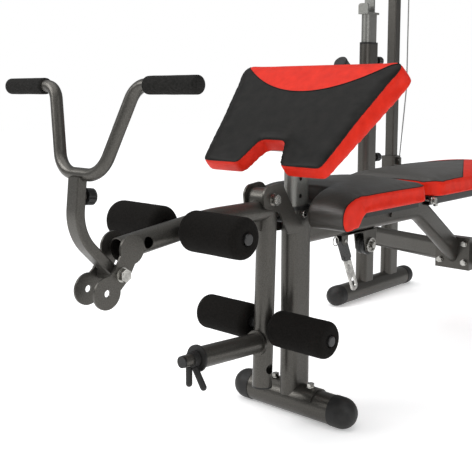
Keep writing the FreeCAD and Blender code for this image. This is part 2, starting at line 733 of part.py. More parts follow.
# ---------------------------------------------------------------- bench spine and seat
def spine_path():
    return [Vector(0, MAIN_POST_Y, SPINE_Z), SPINE_BEND, SPINE_END]


def cross_solid(wall=0.0):
    """One half of the V-shaped cross member, from the middle to the right side frame."""
    run = Vector(SIDE_X, CROSS_END_Y, CROSS_END_Z) - CROSS_APEX
    start = CROSS_APEX - run * 0.1
    flat = Vector(run.x, run.y, 0).normalize()
    side = flat.cross(Z_DIR)
    outline = oval_wire(INNER_WIDTH - 2 * wall, INNER_DEPTH - 2 * wall)
    run_dir = Vector(run).normalize()
    face = Part.Face(outline)
    face.Placement = frame_at(start, run_dir, side)
    bar = face.extrude(run * 1.2)
    inboard = SIDE_X - POST_WIDTH / 2
    return bar.common(box(Vector(0, 0, 0), Vector(inboard, 2000, 600)))


def cross_member():
    half = cross_solid().cut(cross_solid(WALL))
    return half.fuse(mirrored(half)).removeSplitter()


def spine():
    outline = oval_wire(INNER_WIDTH, INNER_DEPTH)
    core = oval_wire(INNER_WIDTH - 2 * WALL, INNER_DEPTH - 2 * WALL)
    outer = swept(outline, spine_path(), SPINE_BEND_RADIUS, X_DIR)
    inner = swept(core, spine_path(), SPINE_BEND_RADIUS, X_DIR)
    tube = outer.cut(inner)
    post = prism(oval_wire(POST_WIDTH, POST_DEPTH), Vector(0, MAIN_POST_Y, 300),
                 Vector(0, MAIN_POST_Y, 700), X_DIR)
    tube = tube.cut(post)
    beyond = box(Vector(-100, BRACKET_FACE_Y, 0), Vector(100, 1200, 600))
    return tube.cut(beyond).removeSplitter()


def spine_bracket():
    """Plate on the spine's end with two cheeks that hold the cross member's apex."""
    solid = cross_solid().fuse(mirrored(cross_solid()))
    block = box(Vector(-62, BRACKET_FACE_Y, 250), Vector(62, 905, 352))
    block = block.fuse(box(Vector(-62, BRACKET_FACE_Y, 242), Vector(62, 950, 250)))
    tube = swept(oval_wire(INNER_WIDTH, INNER_DEPTH), spine_path(), SPINE_BEND_RADIUS, X_DIR)
    return block.cut(solid).cut(tube.cut(box(Vector(-100, BRACKET_FACE_Y, 0), Vector(100, 1200, 600))))


def bracket_bolts():
    bolts = []
    for x in (-44, 44):
        for z in (268, 332):
            bolts.append(head(Vector(x, BRACKET_FACE_Y, z), -Y_DIR, 17))
    return Part.makeCompound(bolts)


def seat_profile():
    """Side view of the seat: flat cushion with its nose rolled down at the front."""
    points = [(SEAT_REAR, SEAT_TOP), (26, SEAT_TOP), (-46, 545), (-20, 484), (38, 492),
              (56, SEAT_UNDER), (SEAT_REAR, SEAT_UNDER)]
    radii = [12.0, 60.0, 34.0, 22.0, 16.0, 22.0, 12.0]
    return side_plate(points, radii, -SEAT_HALF, SEAT_HALF)


def seat_pad():
    pad = seat_profile()
    notch = box(Vector(-NOTCH_HALF, -200, 400), Vector(NOTCH_HALF, NOTCH_REAR, 700))
    pad = pad.cut(notch)
    plan = [Vector(-SEAT_HALF, -70, 400), Vector(SEAT_HALF, -70, 400),
            Vector(SEAT_HALF, SEAT_REAR, 400), Vector(-SEAT_HALF, SEAT_REAR, 400)]
    outline = Part.Face(rounded_loop(plan, [30.0, 30.0, 38.0, 38.0])).extrude(Z_DIR * 300)
    return pad.common(outline)


def seat_board():
    board = box(Vector(-150, 84, BOARD_UNDER), Vector(150, 384, SEAT_UNDER))
    uprights = [e for e in board.Edges if abs(e.tangentAt(e.FirstParameter).z) > 0.9]
    return board.makeFillet(20, uprights)


def seat_screws():
    screws = []
    for x in (-60, 60):
        for y in (130, 330):
            screws.append(head(Vector(x, y, BOARD_UNDER), -Z_DIR, 13))
    return Part.makeCompound(screws)


def pull_ring():
    """Spring pin through the bottom of the spine, with a split ring to pull it."""
    under = SPINE_Z - INNER_DEPTH / 2
    centre = Vector(0, RING_Y, under - 15.5)
    ring = Part.makeTorus(12.5, 1.3, centre, X_DIR)
    pin = rod(Vector(0, RING_Y, under - 5), Vector(0, RING_Y, under + 2.0), 3.4)
    return pin.fuse(ring).removeSplitter()


# ---------------------------------------------------------------- low pulley and its link
def low_pulley_hanger():
    """Strap bracket under the spine for the low pulley and the link."""
    under = SPINE_Z - INNER_DEPTH / 2
    cheek = side_plate([(296, under), (364, under), (352, 384), (308, 384)],
                       [1.0, 1.0, 12.0, 12.0], 15, 18)
    cheeks = [cheek, mirrored(cheek)]
    strap = box(Vector(-18, 200, under - 1), Vector(18, 364, under + 1))
    strap = strap.cut(prism(oval_wire(INNER_WIDTH, INNER_DEPTH), Vector(0, 100, SPINE_Z),
                            Vector(0, 500, SPINE_Z), X_DIR))
    ear = side_plate([(198, under + 4), (226, under + 4), (224, 417), (200, 417)],
                     [1.0, 1.0, 11.0, 11.0], 9, 12)
    shape = strap.fuse(cheeks + [ear, mirrored(ear)])
    oval = prism(oval_wire(INNER_WIDTH, INNER_DEPTH), Vector(0, 100, SPINE_Z),
                 Vector(0, 500, SPINE_Z), X_DIR)
    shape = shape.cut(oval)
    shape = shape.cut(cross_rod(LINK_PIVOT, 60, 4))
    return shape.cut(cross_rod(LOW_PULLEY, 60, 6)).removeSplitter()


def low_pulley():
    hub = cross_rod(LOW_PULLEY, 13, LOW_PULLEY_RADIUS)
    groove = Part.makeTorus(LOW_PULLEY_RADIUS + 3, 7, LOW_PULLEY, X_DIR)
    return hub.cut(groove).cut(cross_rod(LOW_PULLEY, 30, 6 + RUN_GAP)).removeSplitter()


def low_pulley_bolt():
    """Bolt with a wide chrome cup washer at the near side."""
    shaft = cross_rod(LOW_PULLEY, 18, 6)
    cup = rod(LOW_PULLEY + X_DIR * 18, LOW_PULLEY + X_DIR * 24, 21)
    hollow = rod(LOW_PULLEY + X_DIR * 20, LOW_PULLEY + X_DIR * 25, 17)
    near = head(LOW_PULLEY + X_DIR * 20, X_DIR, 17)
    far = head(LOW_PULLEY - X_DIR * 18, -X_DIR, 17)
    return shaft.fuse([cup.cut(hollow), near, far]).removeSplitter()


def link_pin():
    return cross_rod(LINK_PIVOT, 14, 4)


def link_local(shape):
    """Turn a link shape drawn hanging straight down to its rest lean."""
    shape.rotate(LINK_PIVOT, X_DIR, LINK_LEAN)
    return shape


def rear_link():
    """Black strap that hangs from the link pin."""
    p = LINK_PIVOT
    strap = box(p + Vector(-8, -13, -62), p + Vector(8, 13, 8))
    strap = strap.makeFillet(4, [e for e in strap.Edges if e.Length < 20])
    strap = strap.cut(cross_rod(p, 30, 4 + RUN_GAP))
    slot = box(p + Vector(-3, -20, -63), p + Vector(3, 20, -44))
    return link_local(strap.cut(slot))


def steel_link():
    """Zinc-plated slotted strap riveted to the foot of the black strap."""
    p = LINK_PIVOT
    plate = box(p + Vector(-3, -14, -166), p + Vector(3, 14, -44))
    plate = plate.makeFillet(12, [e for e in plate.Edges if abs(e.tangentAt(e.FirstParameter).x) > 0.9
                                  and e.BoundBox.ZMax < p.z - 160])
    slot = box(p + Vector(-5, -8, -156), p + Vector(5, 8, -124))
    slot = slot.makeFillet(6, [e for e in slot.Edges if abs(e.tangentAt(e.FirstParameter).x) > 0.9])
    hole = cross_rod(p + Vector(0, 0, -78), 10, 5)
    return link_local(plate.cut(slot).cut(hole))


# ---------------------------------------------------------------- backrest
def backrest_pad():
    plan = [Vector(-BACK_HALF, BACK_FRONT, BACK_UNDER), Vector(BACK_HALF, BACK_FRONT, BACK_UNDER),
            Vector(BACK_HALF, BACK_REAR, BACK_UNDER), Vector(-BACK_HALF, BACK_REAR, BACK_UNDER)]
    outline = Part.Face(rounded_loop(plan, 42.0))
    pad = outline.extrude(Z_DIR * (BACK_TOP - BACK_UNDER))
    rims = [e for e in pad.Edges if abs(e.BoundBox.ZMin - BACK_TOP) < 0.01]
    return pad.makeFillet(9, rims)


def backrest_frame():
    """Two rails under the backrest with cross ties and the hinge holes."""
    top = BACK_UNDER - RAIL_SIZE / 2
    rail = square_tube(Vector(RAIL_X, RAIL_FRONT, top), Vector(RAIL_X, RAIL_REAR, top), RAIL_SIZE, 2)
    ties = []
    for y in (560, 940):
        tie = box(Vector(-RAIL_X + 12.5, y, BACK_UNDER - 6), Vector(RAIL_X - 12.5, y + 40, BACK_UNDER))
        ties.append(tie)
    shape = rail.fuse([mirrored(rail)] + ties)
    pin = Vector(0, BACK_PIVOT_Y, BACK_PIVOT_Z)
    return shape.cut(cross_rod(pin, 200, BACK_PIN_RADIUS + RUN_GAP)).removeSplitter()


def backrest_screws():
    screws = []
    for x in (-RAIL_X, RAIL_X):
        for y in (500, 1040):
            screws.append(head(Vector(x, y, BACK_UNDER - RAIL_SIZE), -Z_DIR, 13))
    return Part.makeCompound(screws)


def backrest_plugs():
    plugs = []
    top = BACK_UNDER - RAIL_SIZE / 2
    for x in (-RAIL_X, RAIL_X):
        start = Vector(x, RAIL_REAR, top)
        rim = prism(rectangle_wire(RAIL_SIZE, RAIL_SIZE, 5), start, start + Y_DIR * 3, X_DIR)
        stem = prism(rectangle_wire(RAIL_SIZE - 4, RAIL_SIZE - 4, 3), start - Y_DIR * 12, start, X_DIR)
        plugs.append(rim.fuse(stem).removeSplitter())
    return Part.makeCompound(plugs)


def hinge_ears():
    """Ears on the spine that hold the backrest's hinge rod."""
    pivot = Vector(0, BACK_PIVOT_Y, BACK_PIVOT_Z)
    outline = [(BACK_PIVOT_Y - 25, 470), (BACK_PIVOT_Y + 25, 470),
               (BACK_PIVOT_Y + EAR_RADIUS, BACK_PIVOT_Z), (BACK_PIVOT_Y - EAR_RADIUS, BACK_PIVOT_Z)]
    ear = side_plate(outline, [6.0, 6.0, 0.1, 0.1], 20, 26)
    ear = ear.fuse(disc_hull(pivot, pivot - Z_DIR * 4, EAR_RADIUS, 20, 26)).removeSplitter()
    ear = ear.cut(cross_rod(pivot, 60, BACK_PIN_RADIUS))
    return both_sides(ear)


def hinge_rod():
    return through_bolt(Vector(0, BACK_PIVOT_Y, BACK_PIVOT_Z), RAIL_X + 15, BACK_PIN_RADIUS, 17)


def rest_bar():
    """Bar between the rack uprights that the backrest's rails lie on."""
    half = SIDE_X - POST_WIDTH / 2
    centre = Vector(0, RACK_Y, BACK_UNDER - RAIL_SIZE - REST_BAR_RADIUS)
    bar = cross_rod(centre, half, REST_BAR_RADIUS).cut(cross_rod(centre, half, REST_BAR_RADIUS - 2))
    flange = rod(centre + X_DIR * (half - 4), centre + X_DIR * half, 21)
    flange = flange.cut(cross_rod(centre, half, REST_BAR_RADIUS - 1))
    return bar.fuse([flange, mirrored(flange)]).removeSplitter()


# ---------------------------------------------------------------- side frames and rack
def base_tube():
    start = Vector(SIDE_X, BASE_FRONT_Y + 4, FOOT_Z)
    end = Vector(SIDE_X, BASE_REAR_Y - 4, FOOT_Z)
    return pipe(start, end, FOOT_RADIUS, WALL)


def base_caps():
    caps = []
    for x in (-SIDE_X, SIDE_X):
        caps.append(foot_cap(Vector(x, BASE_FRONT_Y, FOOT_Z), -Y_DIR))
        caps.append(foot_cap(Vector(x, BASE_REAR_Y, FOOT_Z), Y_DIR))
    return Part.makeCompound(caps)


def foot_cut(shape):
    """Fit the lower end of a side post to the round base tube."""
    return shape.cut(rod(Vector(SIDE_X, 800, FOOT_Z), Vector(SIDE_X, 1600, FOOT_Z), FOOT_RADIUS))


def side_frame():
    """Weldment of the base tube, the rack upright, the safety arm and the tower's stub."""
    cavity = prism(oval_wire(POST_WIDTH - 2 * WALL, POST_DEPTH - 2 * WALL),
                   Vector(SIDE_X, RACK_Y, 400), Vector(SIDE_X, RACK_Y, RACK_TOP), X_DIR)
    welded = base_tube().fuse([rack_upright(), tower_stub(), safety_arm().cut(cavity)])
    return welded.removeSplitter()


def pin_hole(z):
    return rod(Vector(SIDE_X, RACK_Y, z), Vector(SIDE_X, RACK_Y + 80, z), 6 + RUN_GAP)


def rack_upright():
    post = oval_tube(Vector(SIDE_X, RACK_Y, FOOT_Z), Vector(SIDE_X, RACK_Y, RACK_TOP),
                     POST_WIDTH, POST_DEPTH)
    post = foot_cut(post).cut(box(Vector(400, 900, 0), Vector(700, 1500, FOOT_Z + 14)))
    for z in (LOWER_PIN_Z, UPPER_PIN_Z):
        face = RACK_Y + POST_DEPTH / 2
        boss = rod(Vector(SIDE_X, face - 8, z), Vector(SIDE_X, face + 10, z), 11)
        cavity = prism(oval_wire(POST_WIDTH - 2 * WALL, POST_DEPTH - 2 * WALL),
                       Vector(SIDE_X, RACK_Y, 400), Vector(SIDE_X, RACK_Y, RACK_TOP), X_DIR)
        post = post.fuse(boss.cut(cavity)).cut(pin_hole(z))
    return post.removeSplitter()


def rack_post():
    """Telescoping inner post with the cradle welded on its top."""
    low = Vector(SIDE_X, RACK_Y, RACK_INNER_BOTTOM)
    high = Vector(SIDE_X, RACK_Y, BAR_Z - 14 - CRADLE_WALL)
    post = oval_tube(low, high, INNER_WIDTH, INNER_DEPTH, 2.0)
    return post.fuse(bar_cradle()).removeSplitter()


def bar_cradle():
    """U-shaped rest on top of the inner post, with a short front lip and a tall back."""
    floor = BAR_Z - 14
    front = BAR_Y - 18
    rear = RACK_Y + INNER_DEPTH / 2
    x_low = SIDE_X - CRADLE_WIDTH / 2
    x_high = SIDE_X + CRADLE_WIDTH / 2
    base = box(Vector(x_low, front - CRADLE_WALL, floor - CRADLE_WALL), Vector(x_high, rear, floor))
    lip = box(Vector(x_low, front - CRADLE_WALL, floor), Vector(x_high, front, floor + 34))
    back = box(Vector(x_low, BAR_Y + 18, floor), Vector(x_high, BAR_Y + 18 + CRADLE_WALL, floor + 88))
    hook = base.fuse([lip, back]).removeSplitter()
    tops = [e for e in hook.Edges if abs(e.Length - CRADLE_WALL) < 0.01 and e.BoundBox.ZMin > floor + 30]
    return hook.makeFillet(10, tops)


def lock_pin(z):
    """Spring pull pin with a round knob behind the rack upright."""
    face = RACK_Y + POST_DEPTH / 2
    start = Vector(SIDE_X, RACK_Y + INNER_DEPTH / 2 + 1, z)
    stem = rod(start, Vector(SIDE_X, face + 14, z), 6)
    return stem.fuse(round_knob(Vector(SIDE_X, face + 14, z), Y_DIR, 18, 30)).removeSplitter()


def safety_arm():
    """Short arm that rises ahead of the upright and catches a dropped bar."""
    arm = pipe(SAFETY_TIP, SAFETY_ROOT, SAFETY_RADIUS, WALL)
    arm = arm.cut(prism(oval_wire(POST_WIDTH, POST_DEPTH), Vector(SIDE_X, RACK_Y, 600),
                        Vector(SIDE_X, RACK_Y, 1100), X_DIR))
    return arm.cut(box(Vector(400, RACK_Y - 10, 600), Vector(700, 1300, 1100)))


def safety_cap():
    inward = (SAFETY_ROOT - SAFETY_TIP).normalize()
    outer = SAFETY_TIP - inward * 10
    rim = rod(outer, SAFETY_TIP, SAFETY_RADIUS + 1)
    rim = rim.makeFillet(6, [e for e in rim.Edges if isinstance(e.Curve, Part.Circle)
                             and e.Curve.Center.distanceToPoint(outer) < 0.1])
    stem = rod(SAFETY_TIP, SAFETY_TIP + inward * 18, SAFETY_RADIUS - WALL)
    return rim.fuse(stem).removeSplitter()


# ---------------------------------------------------------------- cable tower
def tower_stub():
    post = oval_tube(Vector(SIDE_X, TOWER_Y, FOOT_Z), Vector(SIDE_X, TOWER_Y, STUB_TOP),
                     POST_WIDTH, POST_DEPTH)
    return foot_cut(post).cut(box(Vector(400, 900, 0), Vector(700, 1500, FOOT_Z + 14))).removeSplitter()


def tower_bushing():
    """Plastic guide in the mouth of the stub, cut for the square upright."""
    place = Vector(SIDE_X, TOWER_Y, STUB_TOP)
    rim = prism(oval_wire(POST_WIDTH, POST_DEPTH), place, place + Z_DIR * (CARRIAGE_BOTTOM - STUB_TOP), X_DIR)
    skirt = prism(oval_wire(POST_WIDTH - 2 * WALL, POST_DEPTH - 2 * WALL), place - Z_DIR * 40, place, X_DIR)
    square = prism(rectangle_wire(TOWER_SIZE, TOWER_SIZE, 5), place - Z_DIR * 60, place + Z_DIR * 60, X_DIR)
    return rim.fuse(skirt).cut(square).removeSplitter()


def tower_upright():
    return square_tube(Vector(SIDE_X, TOWER_Y, STUB_TOP - 130), Vector(SIDE_X, TOWER_Y, TOWER_TOP),
                       TOWER_SIZE, 2)


def top_beam():
    z = TOWER_TOP + BEAM_SIZE / 2
    end = SIDE_X + TOWER_SIZE / 2
    return square_tube(Vector(-end, TOWER_Y, z), Vector(end, TOWER_Y, z), BEAM_SIZE, WALL, Z_DIR)


def boom():
    """Arm from the middle of the top beam out over the bench."""
    z = TOWER_TOP + BEAM_SIZE / 2
    return square_tube(Vector(0, TOWER_Y - BEAM_SIZE / 2, z), Vector(0, BOOM_TIP_Y, z), BEAM_SIZE, WALL, X_DIR)


def tower_head():
    """Top beam, boom and the three pulley hangers, welded together."""
    hangers = []
    for name in pulley_places():
        hangers.extend(pulley_hanger(name).Solids)
    return top_beam().fuse([boom()] + hangers).removeSplitter()


def beam_caps():
    z = TOWER_TOP + BEAM_SIZE / 2
    end = SIDE_X + TOWER_SIZE / 2
    places = [(Vector(end, TOWER_Y, z), X_DIR), (Vector(-end, TOWER_Y, z), -X_DIR),
              (Vector(0, BOOM_TIP_Y, z), -Y_DIR)]
    caps = []
    for place, outward in places:
        rim = prism(rectangle_wire(BEAM_SIZE, BEAM_SIZE, 5), place, place + outward * 4, Z_DIR)
        inner = BEAM_SIZE - 2 * WALL
        stem = prism(rectangle_wire(inner, inner, 3), place - outward * 15, place, Z_DIR)
        caps.append(rim.fuse(stem).removeSplitter())
    return Part.makeCompound(caps)


def pulley_shape(centre, axis):
    wheel = rod(centre - axis * 10, centre + axis * 10, PULLEY_RADIUS)
    groove = Part.makeTorus(CABLE_WRAP_RADIUS + 3, 6.2, centre, axis)
    bore = rod(centre - axis * 20, centre + axis * 20, 5 + RUN_GAP)
    return wheel.cut(groove).cut(bore).removeSplitter()


def pulley_places():
    """Centre and axle direction of the three top pulleys, in the order the cable meets them."""
    left = Vector(CABLE_LEFT_X + CABLE_WRAP_RADIUS, TOWER_Y, PULLEY_Z)
    middle = Vector(-CABLE_WRAP_RADIUS, TOWER_Y - CABLE_WRAP_RADIUS, CABLE_TOP_Z)
    front = Vector(0, LAT_Y + CABLE_WRAP_RADIUS, PULLEY_Z)
    return {"left": (left, Y_DIR), "middle": (middle, Z_DIR), "front": (front, X_DIR)}


def pulley_hanger(name):
    """Two cheeks under the beam or boom with the pulley's bolt between them."""
    centre, axis = pulley_places()[name]
    if name == "middle":
        plate = box(centre + Vector(-24, -24, -14.5), centre + Vector(24, 24, -11.5))
        stem = box(centre + Vector(-66, -18, -14.5), centre + Vector(-60, 69, 35))
        cable_way = rod(Vector(-300, TOWER_Y, CABLE_TOP_Z), Vector(0, TOWER_Y, CABLE_TOP_Z), 9)
        arm = box(centre + Vector(-66, -18, -14.5), centre + Vector(0, 18, -11.5))
        return plate.fuse([arm, stem]).cut(cable_way).removeSplitter()
    side = axis.cross(Z_DIR)
    cheeks = []
    for sign in (-1, 1):
        near = centre + axis * (sign * 12)
        size = side * 22
        low = near - size - Z_DIR * 22
        high = near + size + axis * (sign * 3)
        high.z = TOWER_TOP
        corner = Vector(min(low.x, high.x), min(low.y, high.y), min(low.z, high.z))
        far = Vector(max(low.x, high.x), max(low.y, high.y), max(low.z, high.z))
        cheeks.append(box(corner, far))
    return Part.makeCompound(cheeks)


def pulley_bolts():
    bolts = []
    for name, (centre, axis) in pulley_places().items():
        below = centre - axis * 15
        if name == "middle":
            above = centre + axis * 11
            bolt = rod(centre - axis * 14.5, above, 5)
            bolt = bolt.fuse([head(centre - axis * 14.5, -axis, 15), head(above, axis, 15)])
        else:
            bolt = rod(below, centre + axis * 15, 5)
            bolt = bolt.fuse([head(below, -axis, 15), head(centre + axis * 15, axis, 15)])
        bolts.append(bolt.removeSplitter())
    return Part.makeCompound(bolts)


def cable_tube(wire, start, direction):
    circle = Part.Wire([Part.makeCircle(CABLE_RADIUS)])
    side = X_DIR if abs(direction.x) < 0.9 else Y_DIR
    circle.Placement = frame_at(start, direction, side)
    return wire.makePipeShell([circle], True, True)


def top_cable():
    """Cable over the three top pulleys: straight runs joined by quarter turns."""
    r = CABLE_WRAP_RADIUS
    k = r * math.sqrt(0.5)
    places = pulley_places()
    left = places["left"][0]
    middle = places["middle"][0]
    front = places["front"][0]
    start = Vector(CABLE_LEFT_X, TOWER_Y, PULLEY_Z)
    end = Vector(0, LAT_Y, PULLEY_Z)
    edges = [
        Part.Arc(start, left + Vector(-k, 0, k), left + Z_DIR * r).toShape(),
        Part.LineSegment(left + Z_DIR * r, middle + Y_DIR * r).toShape(),
        Part.Arc(middle + Y_DIR * r, middle + Vector(k, k, 0), middle + X_DIR * r).toShape(),
        Part.LineSegment(middle + X_DIR * r, front + Z_DIR * r).toShape(),
        Part.Arc(front + Z_DIR * r, front + Vector(0, -k, k), end).toShape(),
    ]
    pieces = []
    for edge in edges:
        tangent = edge.tangentAt(edge.FirstParameter)
        pieces.append(cable_tube(Part.Wire([edge]), edge.valueAt(edge.FirstParameter), tangent))
    return pieces[0].fuse(pieces[1:]).removeSplitter()


def carriage_cable():
    """Cable from the left pulley down to the carriage's lug, with one slight bend."""
    top = Vector(CABLE_LEFT_X, TOWER_Y, PULLEY_Z)
    bend = Vector(CABLE_LEFT_X, TOWER_Y, CABLE_BEND_Z)
    foot = CABLE_LUG + (bend - CABLE_LUG).normalize() * 6
    return swept(Part.Wire([Part.makeCircle(CABLE_RADIUS)]), [top, bend, foot], 2600.0, Y_DIR)


def lat_cable():
    return rod(Vector(0, LAT_Y, LAT_BAR_Z + 92), Vector(0, LAT_Y, PULLEY_Z), CABLE_RADIUS)


def lat_hook():
    """Cable end sleeve and the ring that the lat bar's eye hangs on."""
    top = Vector(0, LAT_Y, LAT_BAR_Z + 92)
    sleeve = rod(top - Z_DIR * 30, top, 6)
    ring = Part.makeTorus(14, 3.5, top - Z_DIR * 44, Y_DIR)
    return sleeve.fuse(ring).removeSplitter()


def lat_bar():
    """Long bar with its ends bent down and an eye plate in the middle."""
    z = LAT_BAR_Z
    half = [Vector(300, LAT_Y, z), Vector(470, LAT_Y, z - 62)]
    points = [Vector(-p.x, p.y, p.z) for p in reversed(half)] + half
    outer = lat_sweep(points, LAT_BAR_RADIUS)
    inner = lat_sweep(points, LAT_BAR_RADIUS - 2)
    eye = disc_hull(Vector(0, LAT_Y, z), Vector(0, LAT_Y, z + 32), 14, -3, 3)
    eye = eye.cut(cross_rod(Vector(0, LAT_Y, z + 34), 20, 7))
    return outer.cut(inner).fuse(eye.cut(inner)).removeSplitter()


def lat_sweep(points, radius):
    profile = Part.Wire([Part.makeCircle(radius)])
    profile.Placement = frame_at(points[0], (points[1] - points[0]).normalize(), Y_DIR)
    return rounded_path(points, 90.0).makePipeShell([profile], True, False)


def lat_grips():
    start = Vector(300, LAT_Y, LAT_BAR_Z)
    end = Vector(470, LAT_Y, LAT_BAR_Z - 62)
    run = (end - start).normalize()
    sleeve = rod(end - run * 122, end + run * 5, 18)
    sleeve = sleeve.makeFillet(4, [e for e in sleeve.Edges if isinstance(e.Curve, Part.Circle)])
    return both_sides(sleeve.cut(rod(start, end, LAT_BAR_RADIUS)))


def weight_carriage():
    """Sleeve that slides on the left upright, with a flange and a horn for plates."""
    centre = Vector(-SIDE_X, TOWER_Y, CARRIAGE_BOTTOM)
    top = centre + Z_DIR * CARRIAGE_HEIGHT
    sleeve = prism(rectangle_wire(CARRIAGE_SIZE, CARRIAGE_SIZE, 6), centre, top, X_DIR)
    hole = TOWER_SIZE + 2 * SLIDE_GAP
    horn_root = Vector(-SIDE_X, TOWER_Y + CARRIAGE_SIZE / 2, CARRIAGE_HORN_Z)
    flange = rod(horn_root, horn_root + Y_DIR * 8, 39)
    horn = pipe(horn_root, horn_root + Y_DIR * CARRIAGE_HORN_LENGTH, 25, 3)
    lug = box(Vector(CABLE_LUG.x - 12, TOWER_Y - 5, 538), Vector(CABLE_LUG.x + 7, TOWER_Y + 5, 568))
    lug = lug.cut(rod(CABLE_LUG - Y_DIR * 10 - Z_DIR * 10, CABLE_LUG + Y_DIR * 10 - Z_DIR * 10, 4))
    shape = sleeve.fuse([flange, horn, lug])
    core = prism(rectangle_wire(hole, hole, 5.3), centre - Z_DIR, top + Z_DIR, X_DIR)
    return shape.cut(core).removeSplitter()


def carriage_plug():
    start = Vector(-SIDE_X, TOWER_Y + CARRIAGE_SIZE / 2 + CARRIAGE_HORN_LENGTH, CARRIAGE_HORN_Z)
    rim = rod(start, start + Y_DIR * 4, 25)
    stem = rod(start - Y_DIR * 18, start, 22)
    return rim.fuse(stem).removeSplitter()


# ---------------------------------------------------------------- the nodes
def group(*shapes):
    """Separate solids that share one node."""
    solids = []
    for shape in shapes:
        solids.extend(shape.Solids)
    return Part.makeCompound(solids)


def build_lever():
    nodes["leg_lever"] = leg_lever()
    nodes["lever_plugs"] = group(lever_plug(), horn_plug())
    nodes["weight_horn"] = weight_horn()
    nodes["spring_clip"] = group(spring_clip(), horn_washer())
    for name, centre in (("upper", UPPER_ROLLER), ("lower", LOWER_ROLLER)):
        nodes[name + "_roller_axle"] = roller_axle(centre)
        nodes[name + "_roller_foams"] = roller_foams(centre)
    nodes["curl_clevis"] = curl_clevis()
    nodes["clevis_bolt"] = through_bolt(CLEVIS_BOLT, PLATE_IN + PLATE_THICK, PIVOT_BOLT_RADIUS, 24)
    nodes["curl_yoke"] = curl_yoke()
    nodes["yoke_knob"] = yoke_knob()
    nodes["curl_bar"] = curl_bar()
    nodes["curl_bar_grips"] = curl_grips()


def build_bench():
    nodes["main_post"] = main_post()
    nodes["front_foot"] = front_foot()
    nodes["pivot_bracket"] = pivot_bracket()
    nodes["pivot_bolt"] = through_bolt(Vector(0, PIVOT_Y, PIVOT_Z), PLATE_IN + PLATE_THICK,
                                       PIVOT_BOLT_RADIUS, 24)
    nodes["lever_stop"] = lever_stop()
    nodes["preacher_post"] = preacher_post()
    nodes["preacher_backing"] = preacher_backing()
    nodes["preacher_pad"] = preacher_pad()
    nodes["preacher_pin"] = preacher_pin()
    nodes["spine"] = spine()
    nodes["spine_brackets"] = group(spine_bracket(), hinge_ears(), low_pulley_hanger())
    nodes["cross_member"] = cross_member()
    nodes["seat_board"] = seat_board()
    nodes["seat_pad"] = seat_pad()
    nodes["pull_ring"] = pull_ring()
    nodes["low_pulley"] = low_pulley()
    nodes["rear_link"] = group(rear_link(), steel_link())
    nodes["backrest_pad"] = backrest_pad()
    nodes["backrest_frame"] = backrest_frame()
    nodes["backrest_fittings"] = group(backrest_screws(), backrest_plugs())
    nodes["hinge_rod"] = hinge_rod()
    nodes["rest_bar"] = rest_bar()


def build_sides():
    for side, turned in (("right", False), ("left", True)):
        for name, shape in (("side_frame_", side_frame()), ("rack_post_", rack_post()),
                            ("upper_lock_pin_", lock_pin(UPPER_PIN_Z)),
                            ("lower_lock_pin_", lock_pin(LOWER_PIN_Z))):
            nodes[name + side] = mirrored(shape) if turned else shape
    nodes["tower_uprights"] = both_sides(tower_upright())


def build_tower():
    nodes["tower_head"] = tower_head()
    for name, (centre, axis) in pulley_places().items():
        nodes[name + "_pulley"] = pulley_shape(centre, axis)
    nodes["top_cable"] = top_cable()
    nodes["carriage_cable"] = carriage_cable()
    nodes["lat_cable"] = lat_cable()
    nodes["lat_hook"] = lat_hook()
    nodes["lat_bar"] = lat_bar()
    nodes["lat_bar_grips"] = lat_grips()
    nodes["weight_carriage"] = weight_carriage()


def build_shared():
    """Small parts of one kind that share a node."""
    inner_hole = (INNER_WIDTH + 2 * SLIDE_GAP, INNER_DEPTH + 2 * SLIDE_GAP)
    front = post_collar(MAIN_POST_Y, MAIN_POST_TOP, POST_WIDTH, POST_DEPTH, *inner_hole)
    rack = post_collar(RACK_Y, RACK_TOP, POST_WIDTH, POST_DEPTH, *inner_hole, SIDE_X)
    nodes["post_collars"] = group(front, both_sides(rack), both_sides(tower_bushing()))
    front_caps = both_sides(foot_cap(Vector(FRONT_FOOT_X, 0, FOOT_Z), X_DIR))
    nodes["end_caps"] = group(front_caps, base_caps(), both_sides(safety_cap()), beam_caps())
    nodes["frame_bolts"] = group(foot_bolts(), bracket_bolts(), seat_screws(), pulley_bolts(),
                                 low_pulley_bolt(), link_pin())
    for name in ("main_post", "front_foot", "tower_head"):
        nodes[name] = nodes[name].cut(nodes["frame_bolts"])
    pin_way = rod(Vector(0, MAIN_POST_Y - 8, 530), Vector(60, MAIN_POST_Y - 8, 530), 5 + RUN_GAP)
    for name in ("main_post", "post_collars"):
        nodes[name] = nodes[name].cut(pin_way)
    ring_way = rod(Vector(0, RING_Y, 430), Vector(0, RING_Y, 460), 3.4 + RUN_GAP)
    nodes["spine"] = nodes["spine"].cut(ring_way)


def build():
    build_lever()
    build_bench()
    build_sides()
    build_tower()
    build_shared()


def write():
    os.makedirs("parts", exist_ok=True)
    whole = FreeCAD.BoundBox()
    for name, shape in nodes.items():
        shape = shape.copy()
        shape.translate(Vector(0, -Y_MIDDLE, 0))
        whole.add(shape.optimalBoundingBox())
        if not shape.isValid():
            print("not valid:", name)
        shape.exportStep("parts/" + name + ".step")
    print(len(nodes), "nodes; X", round(whole.XMin, 2), round(whole.XMax, 2),
          "Y", round(whole.YMin, 2), round(whole.YMax, 2), "Z", round(whole.ZMin, 2), round(whole.ZMax, 2))


build()
write()
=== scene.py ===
"""Looks of the multi station home gym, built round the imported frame.

Metres.  +Z is up and +Y runs from the leg lever to the cable tower.  Every place comes from the
frame's own boxes, and the named sizes below are only those that a box can't give.
"""

import json
import math

import bmesh
import bpy
from mathutils import Matrix, Vector, noise


